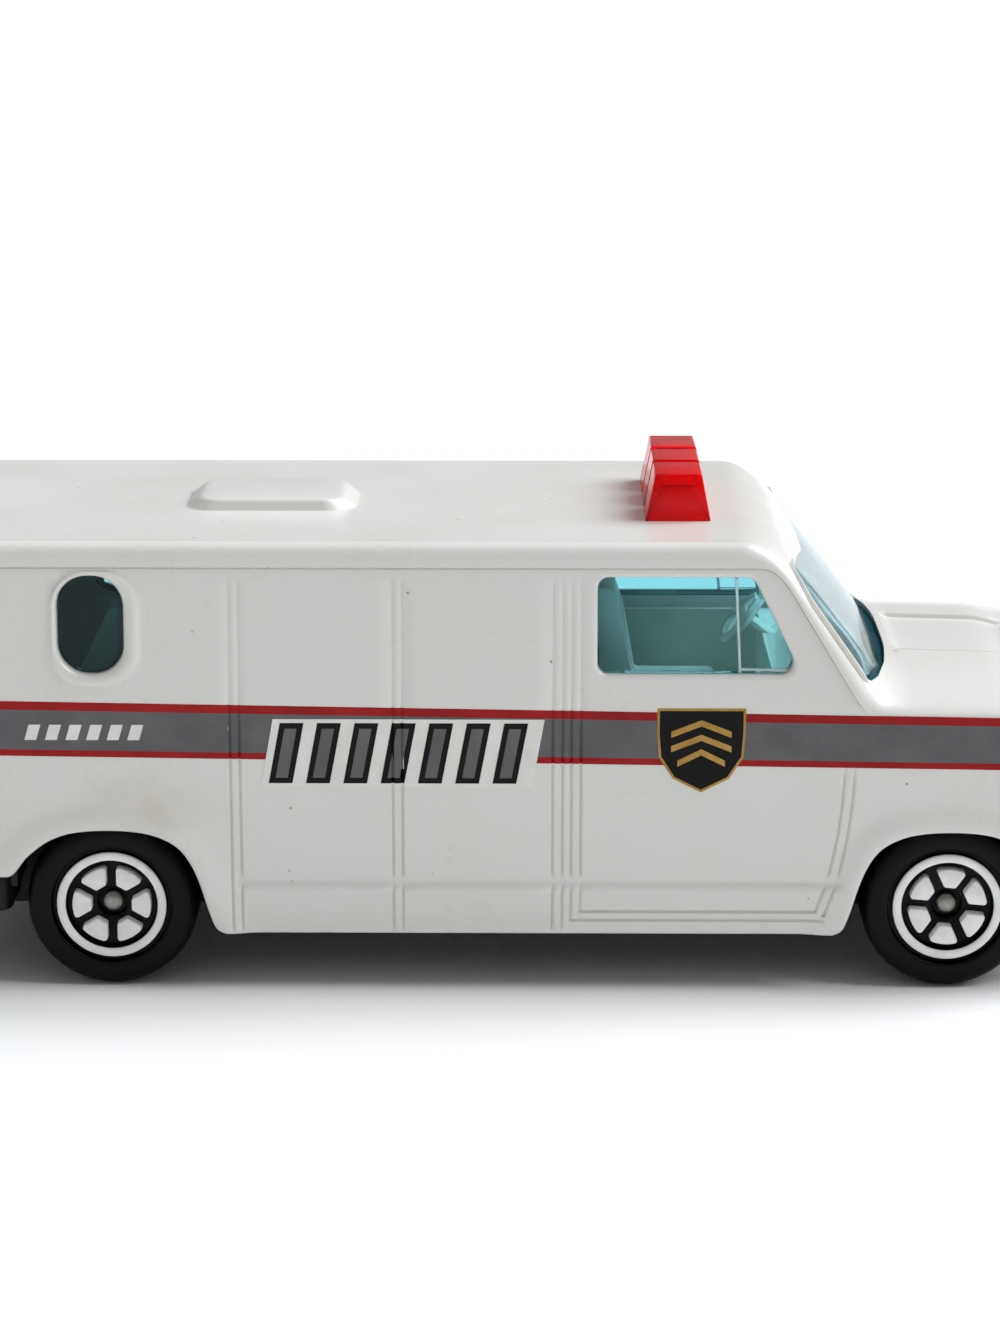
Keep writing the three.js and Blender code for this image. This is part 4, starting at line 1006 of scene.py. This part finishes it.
def turned(profile, steps):  # (radius, y) points spun about the Y axis
    shape = bmesh.new()
    corners = [shape.verts.new((r, y, 0)) for r, y in profile]
    for a, b in zip(corners, corners[1:]):
        shape.edges.new((a, b))
    bmesh.ops.spin(shape, geom=shape.verts[:] + shape.edges[:], cent=(0, 0, 0), axis=(0, 1, 0),
                   angle=2 * math.pi, steps=steps, use_merge=True)
    weld(shape, 1e-4)
    faceOut(shape)
    return shape


def padLoop(turn):  # one printed pad between two spokes
    half = math.pi / wheelPlan["pads"]
    lean = lambda r: half - math.asin(wheelPlan["padGap"] / 2 / r)
    inner, outer = wheelPlan["padInner"], wheelPlan["padOuter"]
    soft, fine = wheelPlan["padCorner"], wheelPlan["padArc"]
    points = [(inner, lean(inner), soft), (inner, -lean(inner), soft)]
    points += [(outer, lean(outer) * (k / 5 - 1), fine if 0 < k < 10 else soft) for k in range(11)]
    corners = [(r * math.cos(a + turn), r * math.sin(a + turn), corner) for r, a, corner in points]
    return roundedLoop(corners, 4)


def toAxle(shape, end):
    along = form["axle"] if end == "front" else -form["axle"]
    move(shape, (along, 0, form["axleHeight"]))


def makeWheel(end, side):
    name = f"wheel_{end}_{side}"
    outward = 1 if side == "left" else -1
    wheel = turned(tyreProfile, wheelPlan["steps"])
    inner, outer = wheelPlan["ring"]
    for face in wheel.faces:
        middle = face.calc_center_median()
        if inner < math.hypot(middle.x, middle.z) < outer and middle.y > wheelPlan["ringFrom"]:
            face.material_index = 1
    if outward < 0:
        wheel = mirrored(wheel)
    for k in range(wheelPlan["pads"]):
        turn = math.radians(wheelPlan["turn"][end]) + 2 * math.pi * k / wheelPlan["pads"]
        pad = flatSheet([padLoop(turn)])
        emboss(pad, rim(pad), wheelPlan["padEdge"])
        paint(pad.faces, 1)
        emboss(pad, rim(pad), wheelPlan["padFoot"])
        for vert in pad.verts:
            u, v, h = vert.co
            vert.co = (-outward * u, outward * (wheelPlan["face"] + h), v)
        joinShape(wheel, pad)
    toAxle(wheel, end)
    finishPiece(name + "_moulded", wheel, [wheelPlastic, stampWhite], name, [name])


def makeAxle(end):
    whole = bmesh.new()
    joinPair(whole, turned(axleProfile, 40))
    weld(whole, 1e-4)
    toAxle(whole, end)
    finishPiece(end + "_axle_wire", whole, [axleSteel], "vehicle", [end + "_axle"])


for end in ("front", "rear"):
    makeAxle(end)
    for side in ("left", "right"):
        makeWheel(end, side)


# light bar

lampPlan = {"centre": 9.5, "foot": 29.3, "height": 3.07, "base": 4.2, "top": 3.0, "length": 12.8, "lamps": 3,
            "groove": 0.85, "floor": 0.3, "depth": 0.85, "round": 0.16, "wall": 0.62, "hollow": 2.2}


def lightBar():
    bar = bmesh.new()
    bmesh.ops.create_cube(bar, size=1)
    stretch(bar, (lampPlan["base"], lampPlan["length"], lampPlan["height"]))
    high = [v for v in bar.verts if v.co.z > 0]
    bmesh.ops.scale(bar, vec=(lampPlan["top"] / lampPlan["base"], 1, 1), verts=high)
    edges = [e for e in bar.edges if any(v.co.z > 0 for v in e.verts)]
    bmesh.ops.bevel(bar, geom=edges, offset=lampPlan["round"], offset_type="OFFSET", segments=3, profile=0.5,
                    affect="EDGES", clamp_overlap=True, material=-1)
    under = [f for f in bar.faces if f.normal.z < -0.5 and f.calc_area() > 20]
    bmesh.ops.inset_region(bar, faces=under, thickness=lampPlan["wall"], use_even_offset=True)
    for face in under:  # hollow from below, as moulded
        bmesh.ops.translate(bar, vec=(0, 0, lampPlan["hollow"]), verts=face.verts[:])
        bmesh.ops.scale(bar, vec=(0.6, 0.97, 1), verts=face.verts[:])
    for k in range(1, lampPlan["lamps"]):
        middle = lampPlan["length"] * (k / lampPlan["lamps"] - 0.5)
        for width in (lampPlan["groove"], lampPlan["floor"]):
            for sign in (-1, 1):
                bmesh.ops.bisect_plane(bar, geom=everything(bar), dist=1e-5,
                                       plane_co=(0, middle + sign * width / 2, 0), plane_no=(0, 1, 0))
        sunk = [v for v in bar.verts if abs(v.co.y - middle) < lampPlan["floor"] * 0.6]
        shrink = 1 - lampPlan["depth"] / (lampPlan["top"] / 2)
        lower = 1 - lampPlan["depth"] / lampPlan["height"]
        bmesh.ops.scale(bar, vec=(shrink, 1, 1), verts=sunk)
        bmesh.ops.scale(bar, vec=(1, 1, lower), verts=sunk,
                        space=Matrix.Translation((0, 0, lampPlan["height"] / 2)))
    middle = (lampPlan["centre"], 0, lampPlan["foot"] + lampPlan["height"] / 2)
    move(bar, middle)
    finishPiece("roof_lamps", bar, [redClear], "vehicle", ["light_bar"], 25)


lightBar()


# pad prints: stripe, block panel, small bars and a plain shield

printPlan = {
    "top": (18.77, -0.0152), "foot": (15.29, -0.0125), "upper": 0.55, "lower": 0.42, "ends": (-37.8, 33.5),
    "panel": [(-17.0, 13.7), (0.15, 13.7), (0.95, 18.15), (-16.2, 18.15)],
    "bars": {"from": -16.5, "pitch": 2.36, "count": 7, "width": 1.5, "slant": 0.75, "foot": 13.95,
             "top": 17.9},
    "barEdge": 0.36,
    "smallBars": {"from": -31.9, "pitch": 1.3, "count": 6, "width": 0.75, "slant": 0.3, "foot": 16.75,
                  "top": 17.75},
    "shield": [(10.83, 13.4), (12.6, 14.3), (13.5, 15.7), (13.62, 17.3), (13.62, 18.9), (10.83, 18.9)],
    "shieldEdge": 0.16,
    "chevrons": {"foot": 15.1, "pitch": 0.95, "halves": (1.5, 1.9, 1.9), "rise": 0.75, "thick": 0.4},
    "lift": 0.014, "edge": 0.004, "sink": 0.02,
}
lineSides = (-bodyPlan["lineHalf"], 0, bodyPlan["lineHalf"])
printLines = sorted(x + d for x, foot, top in bodyPlan["lines"] for d in lineSides)


def padPrint(name, loops, material, layer):
    shape = bmesh.new()
    lift = printPlan["lift"] * layer
    for loop in loops:
        low, high = min(p.x for p in loop), max(p.x for p in loop)
        sheet = flatSheet([loop], [x for x in printLines if low < x < high], [form["belt"]])
        raiseTo(sheet, lambda x, z: sideRelief(x, levelOf(x, z)) + lift)
        emboss(sheet, rim(sheet), [(printPlan["edge"], -lift - printPlan["sink"])])
        wrap(sheet, lambda x, z, h: sidePoint(x, levelOf(x, z), h))
        joinPair(shape, sheet)
    finishPiece(name, shape, [material], "vehicle")


def bandLoop(above, below):  # lengthwise band; above and below give height at x
    low, high = printPlan["ends"]
    return [Vector((low, below(low))), Vector((high, below(high))), Vector((high, above(high))),
            Vector((low, above(low)))]


def slantedBars(plan, grow=0):
    bars = []
    for k in range(plan["count"]):
        x = plan["from"] + plan["pitch"] * k
        width, slant, foot, top = plan["width"], plan["slant"], plan["foot"], plan["top"]
        corners = [(x, foot), (x + width, foot), (x + width + slant, top), (x + slant, top)]
        bars.append(grown([Vector(c) for c in corners], grow))
    return bars


def shieldLoop(grow):
    right = [Vector(p) for p in printPlan["shield"]]
    left = [Vector((2 * right[0].x - p.x, p.y)) for p in right[1:-1]][::-1]
    return grown(right[:-1] + left, grow)


def chevrons(plan):
    middle, rise, thick = printPlan["shield"][0][0], plan["rise"], plan["thick"]
    loops = []
    for k, half in enumerate(plan["halves"]):
        low = plan["foot"] + plan["pitch"] * k
        corners = [(-half, 0), (0, rise), (half, 0), (half, thick), (0, rise + thick), (-half, thick)]
        loops.append([Vector((middle + x, low + z)) for x, z in corners])
    return loops


def makePrints():
    top = lambda x: printPlan["top"][0] + printPlan["top"][1] * x
    foot = lambda x: printPlan["foot"][0] + printPlan["foot"][1] * x
    upper = lambda x: top(x) - printPlan["upper"]
    lower = lambda x: foot(x) + printPlan["lower"]
    padPrint("stripe_red", [bandLoop(top, upper), bandLoop(lower, foot)], printRed, 1)
    padPrint("stripe_grey", [bandLoop(upper, lower)], printGrey, 1)
    bars = printPlan["bars"]
    panel = [Vector(p) for p in printPlan["panel"]]
    padPrint("panel_white", [panel] + slantedBars(printPlan["smallBars"]), printWhite, 2)
    padPrint("bars_black", slantedBars(bars) + [shieldLoop(-printPlan["shieldEdge"])], printBlack, 3)
    padPrint("bars_grey", slantedBars(bars, -printPlan["barEdge"]), printGrey, 4)
    padPrint("shield_gold", [shieldLoop(0)], printGold, 2)
    padPrint("chevrons_gold", chevrons(printPlan["chevrons"]), printGold, 4)


makePrints()


# moulded pieces that keep the solids' shape, with their edges softened

softened = {
    "base_plate": (basePlastic, "black_plastic", 0.12), "interior": (palePlastic, "pale_plastic", 0.15),
    "grille": (silverCoat, "silver_coat", 0.1), "front_rivet": (axleSteel, "steel", 0.12),
    "rear_rivet": (axleSteel, "steel", 0.12),
}


def softenNode(node):
    material, slotName, width = softened[node]
    shape = bmesh.new()
    shape.from_mesh(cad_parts[node].data)
    stretch(shape, (1 / mm,) * 3)
    move(shape, (-form["ahead"], 0, 0))
    weld(shape, 1e-3)
    bmesh.ops.dissolve_limit(shape, angle_limit=math.radians(1), verts=shape.verts[:], edges=shape.edges[:])
    keen = [e for e in shape.edges if e.is_manifold and e.calc_face_angle() > math.radians(35)]
    bmesh.ops.bevel(shape, geom=keen, offset=width, offset_type="OFFSET", segments=2, profile=0.5,
                    affect="EDGES", clamp_overlap=True, material=-1)
    paint(shape.faces, 0)
    finishPiece(node + "_moulded", shape, [material], "vehicle", [node])


for node in softened:
    softenNode(node)
